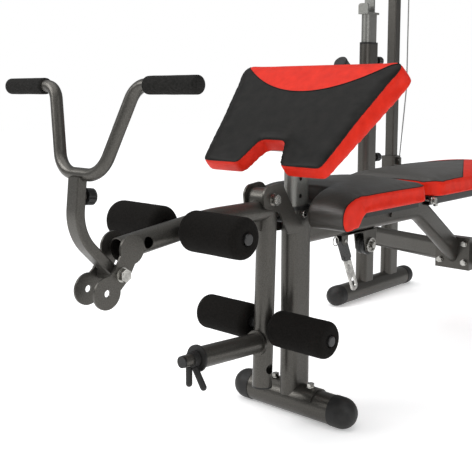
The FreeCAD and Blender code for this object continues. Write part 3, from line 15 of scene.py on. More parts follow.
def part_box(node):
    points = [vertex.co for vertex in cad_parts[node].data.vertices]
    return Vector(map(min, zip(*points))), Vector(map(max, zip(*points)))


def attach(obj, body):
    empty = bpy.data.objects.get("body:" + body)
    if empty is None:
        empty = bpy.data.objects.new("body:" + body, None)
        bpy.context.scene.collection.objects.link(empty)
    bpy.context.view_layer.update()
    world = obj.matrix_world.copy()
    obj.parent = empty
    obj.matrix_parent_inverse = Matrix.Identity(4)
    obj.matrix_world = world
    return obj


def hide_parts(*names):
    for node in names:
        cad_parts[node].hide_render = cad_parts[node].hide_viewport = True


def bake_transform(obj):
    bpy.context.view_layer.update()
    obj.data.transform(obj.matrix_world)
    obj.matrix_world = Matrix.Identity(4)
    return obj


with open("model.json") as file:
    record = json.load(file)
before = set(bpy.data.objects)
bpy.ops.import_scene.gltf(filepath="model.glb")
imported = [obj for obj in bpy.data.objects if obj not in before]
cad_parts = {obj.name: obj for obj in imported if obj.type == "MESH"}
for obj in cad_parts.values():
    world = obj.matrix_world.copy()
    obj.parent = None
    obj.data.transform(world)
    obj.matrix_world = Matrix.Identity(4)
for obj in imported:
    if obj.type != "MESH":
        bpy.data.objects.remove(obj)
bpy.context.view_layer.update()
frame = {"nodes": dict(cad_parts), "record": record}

# ---------------------------------------------------------------- sizes
VOXEL = 0.0055                     # of the pads' meshes
START_INSET = 0.004                # a pad starts this much smaller than its box, and is then stuffed
SWELL_LIMIT = 0.006                # how far the stuffing may push the cover
PRESSURE = 5.0
PREACHER_PRESSURE = 4.0
CLOTH_FRAMES = 20
ON_BOARD = 0.002                   # points this close to the board stay on it
PIPING_RADIUS = 0.0012

PAD_TILT = math.radians(44.7)      # preacher pad's face above the floor
PAD_FLARE = math.radians(3.2)      # its back leaves its face by this angle, upwards
PAD_THICK = 0.046                  # at its lower edge
PAD_ROLL = 0.008                   # rounding of its edges before it is stuffed
PAD_ON_BOARD = 0.003
PAD_LOW_BULGE = 0.009              # the filling rolls this far below the board
PAD_LOW_HALF = 0.192
PAD_HIGH_HALF = 0.270
PAD_NOTCH_HALF = 0.062
PAD_NOTCH_ROOF = 0.036
PAD_NOTCH_HEIGHT = 0.082
PAD_SEAM_DEPTH = 0.007             # the black face wraps this far round the edge
CRESCENT_LOW = 0.246               # the red crescent's lowest point, up the face
CRESCENT_RISE = 0.112              # how much higher it is this far from the middle:
CRESCENT_HALF = 0.25

SEAT_THICK = 0.045
NOSE_RUN = 0.072                   # how far back the nose's slope starts, and how far it drops
NOSE_DROP = 0.035
NOSE_TOE = 0.026                   # from the nose to its lowest point
NOSE_HEEL = 0.084                  # from the nose to where its underside starts to climb
NOSE_HEEL_RISE = 0.008
NOSE_BACK = 0.102                  # from the nose to where the flat underside starts
NOSE_BOARD = 0.10                  # the board starts this far behind the nose
SEAT_NOTCH_HALF = 0.046
SEAT_NOTCH_DEPTH = 0.108
SEAT_NOTCH_CORNER = 0.012
SEAT_NOTCH_ROOF = 0.014
SEAT_FRONT_CORNER = 0.030
CUT_MARGIN = 0.02                  # the plan's cutter reaches this far past the seat
SEAT_CORNER = 0.024
SEAT_RISE = 0.004                  # the cover stands this much over the filling's plain block
SEAT_CROWN = 0.018
SEAT_SEAM_INSET = 0.0075
BACK_CORNER = 0.060
BACK_ROLL = 0.009
BACK_CROWN = 0.020
BACK_SEAM_INSET = 0.008
BACK_V_START = 0.150               # where the red V begins at the pad's sides, from its front
BACK_V_SLOPE = 2.05

FOAM_INNER_X = 0.038
FOAM_RADIUS = 0.0445
FOAM_ROUNDING = 0.016
FOAM_WAVER = 0.0005
AXLE_RADIUS = 0.0125
GRIP_RADIUS = 0.017
GRIP_LENGTH = 0.130
GRIP_ROUNDING = 0.005
GRIP_WAVER = 0.0003
BAR_RADIUS = 0.0127
LAT_BAR_RADIUS = 0.014
LAT_GRIP_RADIUS = 0.018
LAT_GRIP_LENGTH = 0.127
LAT_BAR_RUN = (0.170, 0, -0.062)   # which way the lat bar's ends point
CLOSED_END = 0.0006                # the bar's end stops just inside the grip's
CABLE_RADIUS = 0.0025
CABLE_BEND_Z = 0.860               # where the carriage's cable turns towards its lug
CABLE_SPANS = 24
LINK_STRAP = 0.072                 # how far down the webbing strap reaches
FLOOR_GLOW = 0.32                  # keeps the floor as white as the backdrop


# ---------------------------------------------------------------- materials
def new_material(name, colour, roughness, metallic=0.0, specular=0.5):
    material = bpy.data.materials.new(name)
    material.use_nodes = True
    shader = material.node_tree.nodes["Principled BSDF"]
    shader.inputs["Base Color"].default_value = (*colour, 1)
    shader.inputs["Roughness"].default_value = roughness
    shader.inputs["Metallic"].default_value = metallic
    shader.inputs["Specular IOR Level"].default_value = specular
    return material


def add(material, kind, **inputs):
    """A new node with its inputs set; an underscore in a name stands for a space."""
    made = material.node_tree.nodes.new(kind)
    for name, value in inputs.items():
        made.inputs[name.replace("_", " ")].default_value = value
    return made


def link(material, source, target):
    material.node_tree.links.new(source, target)


def place(material):
    """Coordinates that stay with the piece, in the frame's metres."""
    return add(material, "ShaderNodeTexCoord").outputs["Object"]


def noise_of(material, scale, detail=3.0):
    texture = add(material, "ShaderNodeTexNoise", Scale=scale, Detail=detail)
    link(material, place(material), texture.inputs["Vector"])
    return texture.outputs["Fac"]


def cells_of(material, scale, feature="F1"):
    texture = add(material, "ShaderNodeTexVoronoi", Scale=scale)
    texture.feature = feature
    link(material, place(material), texture.inputs["Vector"])
    return texture.outputs["Distance"]


def vary_colour(material, source, dark, light, low=0.3, high=0.7):
    """Base colour from dark to light as source goes from low to high."""
    ramp = add(material, "ShaderNodeValToRGB")
    ramp.color_ramp.elements[0].position = low
    ramp.color_ramp.elements[0].color = (*dark, 1)
    ramp.color_ramp.elements[1].position = high
    ramp.color_ramp.elements[1].color = (*light, 1)
    link(material, source, ramp.inputs["Fac"])
    shader = material.node_tree.nodes["Principled BSDF"]
    link(material, ramp.outputs["Color"], shader.inputs["Base Color"])


def vary_roughness(material, source, low, high):
    span = add(material, "ShaderNodeMapRange")
    span.inputs["To Min"].default_value = low
    span.inputs["To Max"].default_value = high
    link(material, source, span.inputs["Value"])
    shader = material.node_tree.nodes["Principled BSDF"]
    link(material, span.outputs["Result"], shader.inputs["Roughness"])


def add_bump(material, source, distance, strength=1.0, below=None):
    """Relief from source, laid over the normal below."""
    bump = add(material, "ShaderNodeBump", Strength=strength, Distance=distance)
    link(material, source, bump.inputs["Height"])
    if below is not None:
        link(material, below, bump.inputs["Normal"])
    shader = material.node_tree.nodes["Principled BSDF"]
    link(material, bump.outputs["Normal"], shader.inputs["Normal"])
    return bump.outputs["Normal"]


def powder_coat(name, dark, light, roughness, metallic):
    """Metallic powder coat: fine flakes, faint clouding and orange peel."""
    material = new_material(name, light, roughness, metallic)
    vary_colour(material, noise_of(material, 420.0, 5.0), dark, light)
    vary_roughness(material, noise_of(material, 9.0), roughness - 0.05, roughness + 0.07)
    peel = add_bump(material, noise_of(material, 160.0, 2.0), 0.0004, 0.35)
    add_bump(material, cells_of(material, 1500.0), 0.0001, 0.25, peel)
    return material


def vinyl(name, dark, light, roughness, specular):
    """Upholstery vinyl: pebbled grain, fine creases and uneven gloss."""
    material = new_material(name, light, roughness, 0.0, specular)
    vary_colour(material, noise_of(material, 38.0, 4.0), dark, light)
    vary_roughness(material, noise_of(material, 24.0), roughness - 0.06, roughness + 0.08)
    creases = add_bump(material, noise_of(material, 90.0, 4.0), 0.0006, 0.25)
    add_bump(material, cells_of(material, 620.0), 0.0004, 0.5, creases)
    return material


def perforated_vinyl(name, dark, light, roughness):
    """Vinyl with a close regular grid of pressed dots."""
    material = new_material(name, light, roughness, 0.0, 0.6)
    dots = add(material, "ShaderNodeTexVoronoi", Scale=340.0, Randomness=0.15)
    link(material, place(material), dots.inputs["Vector"])
    vary_colour(material, dots.outputs["Distance"], dark, light, 0.12, 0.45)
    vary_roughness(material, noise_of(material, 24.0), roughness - 0.05, roughness + 0.08)
    add_bump(material, dots.outputs["Distance"], 0.0006, 0.6)
    return material


def foam(name, dark, light):
    """Closed-cell foam: matt, with fine open pits."""
    material = new_material(name, light, 0.95, 0.0, 0.12)
    vary_colour(material, noise_of(material, 260.0, 5.0), dark, light)
    pits = add_bump(material, cells_of(material, 900.0), 0.0007, 0.5)
    add_bump(material, noise_of(material, 55.0, 3.0), 0.0012, 0.3, pits)
    return material


def plated(name, dark, light, roughness):
    """Zinc plate: bright, slightly cloudy, with fine handling marks."""
    material = new_material(name, light, roughness, 1.0)
    vary_colour(material, noise_of(material, 60.0, 4.0), dark, light)
    vary_roughness(material, noise_of(material, 180.0, 5.0), roughness - 0.08, roughness + 0.14)
    add_bump(material, noise_of(material, 500.0), 0.0001, 0.3)
    return material


def moulded(name, dark, light, roughness):
    """Moulded plastic or rubber: fine spark-eroded texture and soft wear."""
    material = new_material(name, light, roughness, 0.0, 0.3)
    vary_colour(material, noise_of(material, 45.0, 4.0), dark, light)
    vary_roughness(material, noise_of(material, 30.0), roughness - 0.07, roughness + 0.08)
    add_bump(material, noise_of(material, 1100.0, 2.0), 0.0003, 0.45)
    return material


def coated_rope(name, dark, light):
    """Steel rope under a clear plastic coat: the strands show as slanted bands."""
    material = new_material(name, light, 0.42, 0.4)
    bands = add(material, "ShaderNodeTexWave", Scale=190.0, Distortion=0.4)
    bands.bands_direction = "DIAGONAL"
    link(material, place(material), bands.inputs["Vector"])
    vary_colour(material, bands.outputs["Fac"], dark, light)
    add_bump(material, bands.outputs["Fac"], 0.0004, 0.6)
    return material


def strap_and_link(join):
    """Black webbing above the join and zinc plate below it, along the leaning link."""
    material = plated("strap_and_link", (0.30, 0.295, 0.28), (0.60, 0.59, 0.56), 0.26)
    shader = material.node_tree.nodes["Principled BSDF"]
    split = add(material, "ShaderNodeSeparateXYZ")
    link(material, place(material), split.inputs["Vector"])
    weave = add(material, "ShaderNodeTexWave", Scale=260.0, Distortion=0.6)
    weave.bands_direction = "DIAGONAL"
    link(material, place(material), weave.inputs["Vector"])
    above = add(material, "ShaderNodeMath")
    above.operation = "GREATER_THAN"
    above.inputs[1].default_value = join
    link(material, split.outputs["Z"], above.inputs[0])
    black = add(material, "ShaderNodeValToRGB")
    black.color_ramp.elements[0].color = (0.006, 0.006, 0.006, 1)
    black.color_ramp.elements[1].color = (0.020, 0.020, 0.019, 1)
    link(material, weave.outputs["Fac"], black.inputs["Fac"])
    mix = add(material, "ShaderNodeMix")
    mix.data_type = "RGBA"
    link(material, above.outputs["Value"], mix.inputs["Factor"])
    link(material, shader.inputs["Base Color"].links[0].from_socket, mix.inputs[6])
    link(material, black.outputs["Color"], mix.inputs[7])
    link(material, mix.outputs[2], shader.inputs["Base Color"])
    bare = add(material, "ShaderNodeMath")
    bare.operation = "SUBTRACT"
    bare.inputs[0].default_value = 1.0
    link(material, above.outputs["Value"], bare.inputs[1])
    link(material, bare.outputs["Value"], shader.inputs["Metallic"])
    return material


def pale_floor():
    """Studio paper, kept as white as the backdrop."""
    material = new_material("floor", (0.95, 0.95, 0.95), 0.7)
    vary_colour(material, noise_of(material, 2.0), (0.94, 0.94, 0.94), (0.97, 0.97, 0.97))
    shader = material.node_tree.nodes["Principled BSDF"]
    shader.inputs["Emission Color"].default_value = (1, 1, 1, 1)
    shader.inputs["Emission Strength"].default_value = FLOOR_GLOW
    return material


# Colours are linear, dark and light ends of each material's variation.
BLACK_VINYL = vinyl("black_vinyl", (0.005, 0.005, 0.0045), (0.011, 0.010, 0.009), 0.38, 0.10)
RED_VINYL = vinyl("red_vinyl", (0.54, 0.013, 0.003), (0.66, 0.020, 0.006), 0.46, 0.16)
SEAT_VINYL = perforated_vinyl("seat_vinyl", (0.007, 0.006, 0.005), (0.040, 0.036, 0.031), 0.40)
FOAM = foam("foam", (0.004, 0.0035, 0.003), (0.009, 0.008, 0.007))
GRIP_FOAM = foam("grip_foam", (0.009, 0.009, 0.008), (0.020, 0.019, 0.018))
CABLE = coated_rope("cable", (0.11, 0.11, 0.11), (0.38, 0.38, 0.37))

SLOT_MATERIALS = {
    "frame_paint": powder_coat("graphite_paint", (0.052, 0.049, 0.043), (0.092, 0.087, 0.078), 0.34, 0.7),
    "grey_paint": powder_coat("grey_paint", (0.17, 0.17, 0.155), (0.25, 0.25, 0.235), 0.38, 0.7),
    "black_paint": powder_coat("black_paint", (0.008, 0.008, 0.008), (0.018, 0.017, 0.016), 0.36, 0.1),
    "zinc": plated("zinc", (0.24, 0.235, 0.22), (0.52, 0.51, 0.48), 0.24),
    "rubber": moulded("rubber", (0.009, 0.009, 0.009), (0.020, 0.019, 0.018), 0.52),
    "black_plastic": moulded("black_plastic", (0.008, 0.008, 0.008), (0.018, 0.018, 0.017), 0.38),
    "upholstery": BLACK_VINYL,
    "foam": FOAM,
    "cable": CABLE,
}


def dress_frame():
    """Give each CAD node the procedural material of its slot."""
    for row in frame["record"]["subparts"]:
        for slot in frame["nodes"][row["node"]].material_slots:
            slot.link = "OBJECT"
            slot.material = SLOT_MATERIALS[row["material_slot"]]
    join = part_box("rear_link")[1].z - LINK_STRAP
    for slot in frame["nodes"]["rear_link"].material_slots:
        slot.material = strap_and_link(join)


# ---------------------------------------------------------------- mesh helpers
def new_piece(name, mesh_maker, *materials):
    mesh = bpy.data.meshes.new(name)
    bm = bmesh.new()
    mesh_maker(bm)
    bmesh.ops.recalc_face_normals(bm, faces=bm.faces)
    bm.to_mesh(mesh)
    bm.free()
    piece = bpy.data.objects.new(name, mesh)
    bpy.context.scene.collection.objects.link(piece)
    for material in materials:
        mesh.materials.append(material)
    return piece


def smooth(piece):
    """Shade it smooth."""
    for polygon in piece.data.polygons:
        polygon.use_smooth = True


def apply_modifiers(piece):
    """Keep the shape that the modifiers make, and drop the modifiers."""
    graph = bpy.context.evaluated_depsgraph_get()
    mesh = bpy.data.meshes.new_from_object(piece.evaluated_get(graph))
    piece.modifiers.clear()
    piece.data = mesh


def rounded_outline(corners, radii, steps=7):
    """Closed outline of (a, b) points with each corner rounded by an arc."""
    outline = []
    for i, corner in enumerate(corners):
        here = Vector(corner)
        before = (Vector(corners[i - 1]) - here).normalized()
        after = (Vector(corners[(i + 1) % len(corners)]) - here).normalized()
        half = before.angle(after) / 2
        middle = here + (before + after).normalized() * (radii[i] / math.sin(half))
        start = here + before * (radii[i] / math.tan(half)) - middle
        end = here + after * (radii[i] / math.tan(half)) - middle
        turn = start.angle_signed(end)
        for step in range(steps + 1):
            outline.append(middle + Matrix.Rotation(-turn * step / steps, 2) @ start)
    return outline


def prism(outline, to_space, low, high):
    """Mesh maker: a flat outline pushed along its third direction, from low to high.

    Each is a function of the outline's point, so that an end can slope.
    """
    def make(bm):
        ends = []
        for depth in (low, high):
            verts = [bm.verts.new(to_space(p.x, p.y, depth(p))) for p in outline]
            ends.append(verts)
            bm.faces.new(verts)
        count = len(outline)
        for i in range(count):
            j = (i + 1) % count
            bm.faces.new((ends[0][i], ends[0][j], ends[1][j], ends[1][i]))
        bmesh.ops.triangulate(bm, faces=[f for f in bm.faces if len(f.verts) > 4])
    return make


def level(depth):
    """A flat end for a prism."""
    return lambda point: depth


def round_edges(piece, width):
    """Round each sharp edge."""
    step = piece.modifiers.new("round", "BEVEL")
    step.width = width
    step.segments = 4
    step.limit_method = "ANGLE"
    step.angle_limit = math.radians(50)
    apply_modifiers(piece)


def lathe(profile, origin, axis, segments=64, waver=0.0):
    """Mesh maker: (distance, radius) points turned about an axis, closed into a ring."""
    side = axis.orthogonal().normalized()
    across = axis.cross(side)

    def make(bm):
        rings = []
        for distance, radius in profile:
            ring = []
            for k in range(segments):
                angle = 2 * math.pi * k / segments
                out = side * math.cos(angle) + across * math.sin(angle)
                point = origin + axis * distance + out * radius
                ring.append(bm.verts.new(point + out * waver * noise.noise(point * 45)))
            rings.append(ring)
        for i, ring in enumerate(rings):
            following = rings[(i + 1) % len(rings)]
            for k in range(segments):
                m = (k + 1) % segments
                bm.faces.new((ring[k], ring[m], following[m], following[k]))
    return make


def tube(points, radius, segments=12):
    """Mesh maker: a round tube along points, capped at both ends."""
    def make(bm):
        rings = []
        for i, point in enumerate(points):
            ahead = points[min(i + 1, len(points) - 1)] - points[max(i - 1, 0)]
            side = ahead.normalized().cross(Vector((0, 1, 0))).normalized()
            across = ahead.normalized().cross(side)
            ring = []
            for k in range(segments):
                angle = 2 * math.pi * k / segments
                outwards = side * math.cos(angle) + across * math.sin(angle)
                ring.append(bm.verts.new(point + outwards * radius))
            rings.append(ring)
        for ring, following in zip(rings, rings[1:]):
            for k in range(segments):
                m = (k + 1) % segments
                bm.faces.new((ring[k], ring[m], following[m], following[k]))
        bm.faces.new(rings[0])
        bm.faces.new(rings[-1])
    return make


# ---------------------------------------------------------------- padding
def remesh(piece):
    """An even mesh, fine enough for cloth."""
    step = piece.modifiers.new("remesh", "REMESH")
    step.mode = "VOXEL"
    step.voxel_size = VOXEL
    apply_modifiers(piece)


def inflate(piece, held, pressure):
    """Stuff the pad with a cloth simulation.  Points where held(point) is true stay on the board.

    A point moves by SWELL_LIMIT at most.
    """
    remesh(piece)
    rest = [v.co.copy() for v in piece.data.vertices]
    group = piece.vertex_groups.new(name="held")
    group.add([i for i, point in enumerate(rest) if held(point)], 1.0, "REPLACE")
    cloth = piece.modifiers.new("cloth", "CLOTH")
    cloth.settings.vertex_group_mass = "held"
    cloth.settings.use_pressure = True
    cloth.settings.uniform_pressure_force = pressure
    cloth.settings.effector_weights.gravity = 0
    cloth.settings.bending_stiffness = 4.0
    scene = bpy.context.scene
    for number in range(1, CLOTH_FRAMES + 1):
        scene.frame_set(number)
    apply_modifiers(piece)
    scene.frame_set(1)
    for vertex, start in zip(piece.data.vertices, rest):
        step = vertex.co - start
        if step.length > SWELL_LIMIT:
            vertex.co = start + step * (SWELL_LIMIT / step.length)
    piece.vertex_groups.clear()


def crown(piece, low, high, rise):
    """Heap the filling towards the middle of a level pad's top."""
    centre = (low + high) / 2
    half = (high - low) / 2
    for vertex in piece.data.vertices:
        across = (vertex.co.x - centre.x) / half.x
        along = (vertex.co.y - centre.y) / half.y
        height = (vertex.co.z - low.z) / (high.z - low.z)
        share = max(0.0, 1 - across ** 2) * max(0.0, 1 - along ** 4) * max(0.0, height)
        vertex.co.z += rise * share


def relax(piece, times):
    """Even out the remeshed surface."""
    step = piece.modifiers.new("relax", "SMOOTH")
    step.factor = 0.5
    step.iterations = times
    apply_modifiers(piece)


def two_colours(piece, field, inside, outside):
    """Cut the surface where field is zero, and colour each side.  Returns the seam, as pairs of points."""
    mesh = piece.data
    bm = bmesh.new()
    bm.from_mesh(mesh)
    value = {v: field(v.co) for v in bm.verts}
    on_seam = []
    for edge in list(bm.edges):
        a, b = edge.verts
        if value[a] * value[b] < 0:
            share = min(0.92, max(0.08, value[a] / (value[a] - value[b])))
            on_seam.append(bmesh.utils.edge_split(edge, a, share)[1])
    bmesh.ops.connect_verts(bm, verts=on_seam)
    for face in bm.faces:
        face.material_index = 0 if field(face.calc_center_median()) > 0 else 1
        face.smooth = True
    bm.normal_update()
    seam = []
    for edge in bm.edges:
        sides = {face.material_index for face in edge.link_faces}
        if len(sides) == 2:
            seam.append([v.co + v.normal * PIPING_RADIUS * 0.2 for v in edge.verts])
    mesh.materials.clear()
    mesh.materials.append(inside)
    mesh.materials.append(outside)
    bm.to_mesh(mesh)
    bm.free()
    return seam


def piping(name, seam, material):
    """Thin welt sewn into the seam."""
    points = {}
    for pair in seam:
        for point in pair:
            points.setdefault(tuple(round(c, 5) for c in point), len(points))
    mesh = bpy.data.meshes.new(name)
    edges = [[points[tuple(round(c, 5) for c in p)] for p in pair] for pair in seam]
    mesh.from_pydata(list(points), [e for e in edges if e[0] != e[1]], [])
    piece = bpy.data.objects.new(name, mesh)
    bpy.context.scene.collection.objects.link(piece)
    bpy.context.view_layer.objects.active = piece
    for other in bpy.context.selected_objects:
        other.select_set(False)
    piece.select_set(True)
    bpy.ops.object.convert(target="CURVE")
    piece.data.bevel_depth = PIPING_RADIUS
    piece.data.bevel_resolution = 2
    bpy.ops.object.convert(target="MESH")
    piece.data.materials.append(material)
    smooth(piece)
    return piece


def finish_pad(piece, body, node, seam):
    step = piece.modifiers.new("subdivision", "SUBSURF")
    step.levels = 1
    step.render_levels = 1
    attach(piece, body)
    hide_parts(node)
    welt = piping(piece.name + "_piping", seam, BLACK_VINYL)
    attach(welt, body)


def extent(piece):
    """The stuffed pad's own box."""
    points = [v.co for v in piece.data.vertices]
    low = Vector(min(p[i] for p in points) for i in range(3))
    high = Vector(max(p[i] for p in points) for i in range(3))
    return low, high


def rounded_box_field(point, low, high, corner):
    """How far a point lies inside a rounded rectangle seen from above."""
    centre = (low + high) / 2
    half = (high - low) / 2
    qx = abs(point.x - centre.x) - half.x + corner
    qy = abs(point.y - centre.y) - half.y + corner
    return corner - math.hypot(max(qx, 0), max(qy, 0)) - min(max(qx, qy), 0)


def preacher_cushion():
    """A wedge with a notch below for the post and a red crescent above."""
    low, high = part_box("preacher_pad")
    up = Vector((0, math.cos(PAD_TILT), math.sin(PAD_TILT)))
    out = Vector((0, -math.sin(PAD_TILT), math.cos(PAD_TILT)))
    foot = Vector((0, low.y, low.z + PAD_THICK * math.cos(PAD_TILT))) - up * PAD_LOW_BULGE
    length = (high.z - foot.z) / math.sin(PAD_TILT)

    def to_space(across, along, depth):
        return foot + Vector((across, 0, 0)) + up * along + out * depth

    def back_of(point):
        return -PAD_THICK - point.y * math.tan(PAD_FLARE)

    def on_board(point):
        along = (point - foot).dot(up)
        return (point - foot).dot(out) < -PAD_THICK - along * math.tan(PAD_FLARE) + PAD_ON_BOARD

    inset = START_INSET
    half = [(-PAD_NOTCH_HALF - inset, inset), (-PAD_NOTCH_ROOF - inset, PAD_NOTCH_HEIGHT + inset)]
    corners = half + [(-x, y) for x, y in reversed(half)]
    corners += [(PAD_LOW_HALF - inset, inset), (PAD_HIGH_HALF - inset, length - inset)]
    corners += [(-PAD_HIGH_HALF + inset, length - inset), (-PAD_LOW_HALF + inset, inset)]
    outline = rounded_outline(corners, [0.012, 0.024, 0.024, 0.012, 0.016, 0.032, 0.032, 0.016])
    piece = new_piece("preacher_cushion", prism(outline, to_space, back_of, level(-inset)), BLACK_VINYL)
    round_edges(piece, PAD_ROLL)
    inflate(piece, on_board, PREACHER_PRESSURE)
    relax(piece, 16)

    def field(point):
        along = (point - foot).dot(up)
        depth = (point - foot).dot(out)
        crescent = CRESCENT_LOW + CRESCENT_RISE * (point.x / CRESCENT_HALF) ** 2
        return min(depth + PAD_SEAM_DEPTH, crescent - along)

    seam = two_colours(piece, field, BLACK_VINYL, RED_VINYL)
    finish_pad(piece, "preacher", "preacher_pad", seam)


def seat_cushion():
    """A flat seat whose nose rolls down in front, notched round the main post."""
    low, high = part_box("seat_pad")
    inset = START_INSET
    top = high.z - inset + SEAT_RISE
    rear = high.y - inset
    nose = low.y + inset
    under = high.z - SEAT_THICK
    profile = [(rear, top), (nose + NOSE_RUN, top), (nose, top - NOSE_DROP),
               (nose + NOSE_TOE, low.z + inset), (nose + NOSE_HEEL, low.z + NOSE_HEEL_RISE + inset),
               (nose + NOSE_BACK, under), (rear, under)]
    outline = rounded_outline(profile, [0.012, 0.150, 0.040, 0.022, 0.016, 0.022, 0.012])
    half = high.x - inset
    side_view = prism(outline, lambda y, z, x: Vector((x, y, z)), level(-half), level(half))
    piece = new_piece("seat_cushion", side_view, BLACK_VINYL)
    notch = low.y + SEAT_NOTCH_DEPTH + inset
    notch_half = SEAT_NOTCH_HALF + inset
    front = nose - CUT_MARGIN
    plan = [(half, front), (half, rear), (-half, rear), (-half, front),
            (-notch_half, front), (-notch_half, notch), (notch_half, notch), (notch_half, front)]
    radii = [SEAT_FRONT_CORNER, SEAT_CORNER, SEAT_CORNER, SEAT_FRONT_CORNER,
             SEAT_NOTCH_CORNER, SEAT_NOTCH_ROOF, SEAT_NOTCH_ROOF, SEAT_NOTCH_CORNER]
    plan_view = prism(rounded_outline(plan, radii), lambda x, y, z: Vector((x, y, z)),
                      level(low.z - CUT_MARGIN), level(high.z + CUT_MARGIN))
    cutter = new_piece("seat_plan", plan_view)
    step = piece.modifiers.new("plan", "BOOLEAN")
    step.operation = "INTERSECT"
    step.object = cutter
    apply_modifiers(piece)
    bpy.data.objects.remove(cutter)
    inflate(piece, lambda p: p.z < under + ON_BOARD and p.y > nose + NOSE_BOARD, PRESSURE)
    relax(piece, 4)
    panel_low, panel_high = extent(piece)
    crown(piece, Vector((-half, nose, under)), high, SEAT_CROWN)
    panel_low.y -= high.y - low.y      # the black panel runs on over the nose

    def field(point):
        return rounded_box_field(point, panel_low, panel_high, SEAT_CORNER) - SEAT_SEAM_INSET

    seam = two_colours(piece, field, SEAT_VINYL, RED_VINYL)
    finish_pad(piece, "frame", "seat_pad", seam)


def backrest_cushion():
    """A flat back with a black panel that ends in a V."""
    low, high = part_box("backrest_pad")
    inset = START_INSET
    a, b = high.x - inset, low.y + inset
    plan = [(a, b), (a, high.y - inset), (-a, high.y - inset), (-a, b)]
    outline = rounded_outline(plan, [BACK_CORNER] * 4)
    plan_view = prism(outline, lambda x, y, z: Vector((x, y, z)), level(low.z), level(high.z - inset))
    piece = new_piece("backrest_cushion", plan_view, BLACK_VINYL)
    round_edges(piece, BACK_ROLL)
    inflate(piece, lambda p: p.z < low.z + ON_BOARD, PRESSURE)
    relax(piece, 5)
    panel_low, panel_high = extent(piece)
    crown(piece, low, high, BACK_CROWN)

    def field(point):
        v_line = low.y + BACK_V_START + (high.x - abs(point.x)) * BACK_V_SLOPE
        edge = rounded_box_field(point, panel_low, panel_high, BACK_CORNER) - BACK_SEAM_INSET
        return min(edge, v_line - point.y)

    seam = two_colours(piece, field, SEAT_VINYL, RED_VINYL)
    finish_pad(piece, "backrest", "backrest_pad", seam)


# ---------------------------------------------------------------- foam rollers and grips
def rounded_sleeve(length, radius, bore, rounding, closed=False):
    """Profile of a sleeve with rounded ends, dished at the bore or, at the far end, closed."""
    turns = [math.pi / 2 * k / 8 for k in range(9)]
    near = [(rounding * (1 - math.sin(t)), radius - rounding * (1 - math.cos(t))) for t in reversed(turns)]
    far = [(length - distance, height) for distance, height in reversed(near)]
    straight = length - 2 * rounding
    middle = [(rounding + straight * k / 12, radius) for k in range(1, 12)]
    dish = [(0.003, bore), (0.001, bore + 0.004)]
    far_dish = [(length - 0.001, bore + 0.004), (length - 0.003, bore)]
    if closed:
        rim = radius - rounding
        far_dish = [(length + 0.0012, rim * 0.8), (length + 0.0020, rim * 0.45), (length + 0.0022, 0.0004),
                    (length - CLOSED_END, 0.0004), (length - CLOSED_END, bore)]
    return dish + near + middle + far + far_dish


def roller_foams(node, body):
    """A foam roller on each end of an axle."""
    low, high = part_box(node)
    centre = (low + high) / 2
    for name, sign in (("left", -1), ("right", 1)):
        profile = rounded_sleeve(high.x - FOAM_INNER_X, FOAM_RADIUS, AXLE_RADIUS, FOAM_ROUNDING)
        start = Vector((sign * FOAM_INNER_X, centre.y, centre.z))
        sleeve = lathe(profile, start, Vector((sign, 0, 0)), 72, FOAM_WAVER)
        piece = new_piece(f"{node}_{name}", sleeve, FOAM)
        smooth(piece)
        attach(piece, body)
        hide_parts(node)


def sleeve_pair(node, body, inner, outer, radius, bore):
    """Foam grips on both sides of the middle, from an inner to an outer point."""
    for name, sign in (("left", -1), ("right", 1)):
        start = Vector((sign * inner.x, inner.y, inner.z))
        end = Vector((sign * outer.x, outer.y, outer.z))
        profile = rounded_sleeve((end - start).length, radius, bore, GRIP_ROUNDING, True)
        sleeve = lathe(profile, start, (end - start).normalized(), 56, GRIP_WAVER)
        piece = new_piece(f"{node}_{name}", sleeve, GRIP_FOAM)
        smooth(piece)
        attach(piece, body)
        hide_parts(node)


def curl_grips():
    low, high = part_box("curl_bar_grips")
    y = (low.y + high.y) / 2
    z = (low.z + high.z) / 2
    inner = high.x - GRIP_LENGTH
    sleeve_pair("curl_bar_grips", "curl_bar", Vector((inner, y, z)), Vector((high.x, y, z)),
                GRIP_RADIUS, BAR_RADIUS)


def lat_grips():
    low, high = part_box("lat_bar_grips")
    run = Vector(LAT_BAR_RUN).normalized()
    y = (low.y + high.y) / 2
    end = Vector((high.x - LAT_GRIP_RADIUS * -run.z, y, low.z + LAT_GRIP_RADIUS * run.x))
    sleeve_pair("lat_bar_grips", "lat_bar", end - run * LAT_GRIP_LENGTH, end,
                LAT_GRIP_RADIUS, LAT_BAR_RADIUS)


# ---------------------------------------------------------------- cable runs
def cable_run(node, points):
    """A run that stretches from a fixed upper end to a lower end on a moving body."""
    dense = []
    for a, b in zip(points, points[1:]):
        dense += [a.lerp(b, k / CABLE_SPANS) for k in range(CABLE_SPANS)]
    dense.append(points[-1])
    piece = new_piece(node + "_run", tube(dense, CABLE_RADIUS), CABLE)
    smooth(piece)
    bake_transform(piece)
    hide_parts(node)


def cables():
    low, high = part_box("carriage_cable")
    y = (low.y + high.y) / 2
    straight = high.x - CABLE_RADIUS
    foot = Vector((low.x + CABLE_RADIUS, y, low.z))
    cable_run("carriage_cable",
              [Vector((straight, y, high.z)), Vector((straight, y, CABLE_BEND_Z)), foot])
    low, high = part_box("lat_cable")
    middle = (low + high) / 2
    cable_run("lat_cable",
              [Vector((middle.x, middle.y, high.z)), Vector((middle.x, middle.y, low.z))])


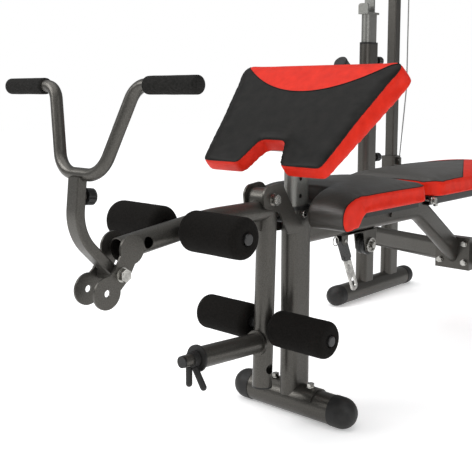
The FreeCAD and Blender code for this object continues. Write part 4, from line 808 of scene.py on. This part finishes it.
# ---------------------------------------------------------------- stage
CAMERA_PLACE = Vector((1.2436, -2.0391, 0.8328))
CAMERA_TURN = math.radians(42.105)
CAMERA_PITCH = math.radians(-6.137)
CAMERA_ROLL = math.radians(0.107)
CAMERA_LENS = 60.69
CAMERA_SHIFT = -0.12
ROOM_LIGHT = 0.34
SKY_LIGHT = 1.9
LIGHT_TARGET = Vector((0, -0.3, 0.6))
FLOOR_REACH = 14.0


def camera():
    data = bpy.data.cameras.new("camera")
    data.lens = CAMERA_LENS
    data.sensor_width = 36
    data.shift_y = CAMERA_SHIFT
    data.clip_end = 100
    holder = bpy.data.objects.new("camera", data)
    bpy.context.scene.collection.objects.link(holder)
    turn = (Matrix.Rotation(CAMERA_TURN, 4, "Z") @ Matrix.Rotation(math.pi / 2 + CAMERA_PITCH, 4, "X")
            @ Matrix.Rotation(CAMERA_ROLL, 4, "Z"))
    holder.matrix_world = Matrix.Translation(CAMERA_PLACE) @ turn
    bpy.context.scene.camera = holder


def soft_light(name, place_at, size, power):
    """A square soft box aimed at the machine."""
    data = bpy.data.lights.new(name, "AREA")
    data.shape = "RECTANGLE"
    data.size = size
    data.size_y = size
    data.energy = power
    lamp = bpy.data.objects.new(name, data)
    bpy.context.scene.collection.objects.link(lamp)
    lamp.location = place_at
    lamp.rotation_euler = (LIGHT_TARGET - place_at).to_track_quat("-Z", "Y").to_euler()


def studio():
    """White backdrop, a dimmer room for the reflections, two soft boxes and a soft overhead light."""
    world = bpy.data.worlds.new("studio")
    world.use_nodes = True
    nodes = world.node_tree.nodes
    seen = nodes["Background"]
    seen.inputs["Color"].default_value = (1, 1, 1, 1)
    seen.inputs["Strength"].default_value = 1.0
    room = nodes.new("ShaderNodeBackground")
    room.inputs["Color"].default_value = (0.96, 0.98, 1, 1)
    room.inputs["Strength"].default_value = ROOM_LIGHT
    ray = nodes.new("ShaderNodeLightPath")
    either = nodes.new("ShaderNodeMixShader")
    links = world.node_tree.links
    links.new(ray.outputs["Is Camera Ray"], either.inputs[0])
    links.new(room.outputs[0], either.inputs[1])
    links.new(seen.outputs[0], either.inputs[2])
    links.new(either.outputs[0], nodes["World Output"].inputs["Surface"])
    bpy.context.scene.world = world
    bpy.context.scene.view_settings.view_transform = "Standard"
    soft_light("key", Vector((-2.2, -3.2, 2.8)), 1.6, 70)
    soft_light("fill", Vector((3.6, -1.2, 2.2)), 1.8, 42)
    sky = bpy.data.lights.new("sky", "SUN")
    sky.energy = SKY_LIGHT
    sky.angle = math.radians(70)
    lamp = bpy.data.objects.new("sky", sky)
    bpy.context.scene.collection.objects.link(lamp)
    lamp.rotation_euler = (math.radians(12), math.radians(-10), 0)
    floor = new_piece("floor", floor_sheet, pale_floor())


def floor_sheet(bm):
    turns = [(-1, -1), (1, -1), (1, 1), (-1, 1)]
    bm.faces.new([bm.verts.new((x * FLOOR_REACH, y * FLOOR_REACH, 0)) for x, y in turns])


dress_frame()
camera()
studio()
preacher_cushion()
seat_cushion()
backrest_cushion()
roller_foams("upper_roller_foams", "upper_rollers")
roller_foams("lower_roller_foams", "lower_rollers")
curl_grips()
lat_grips()
cables()
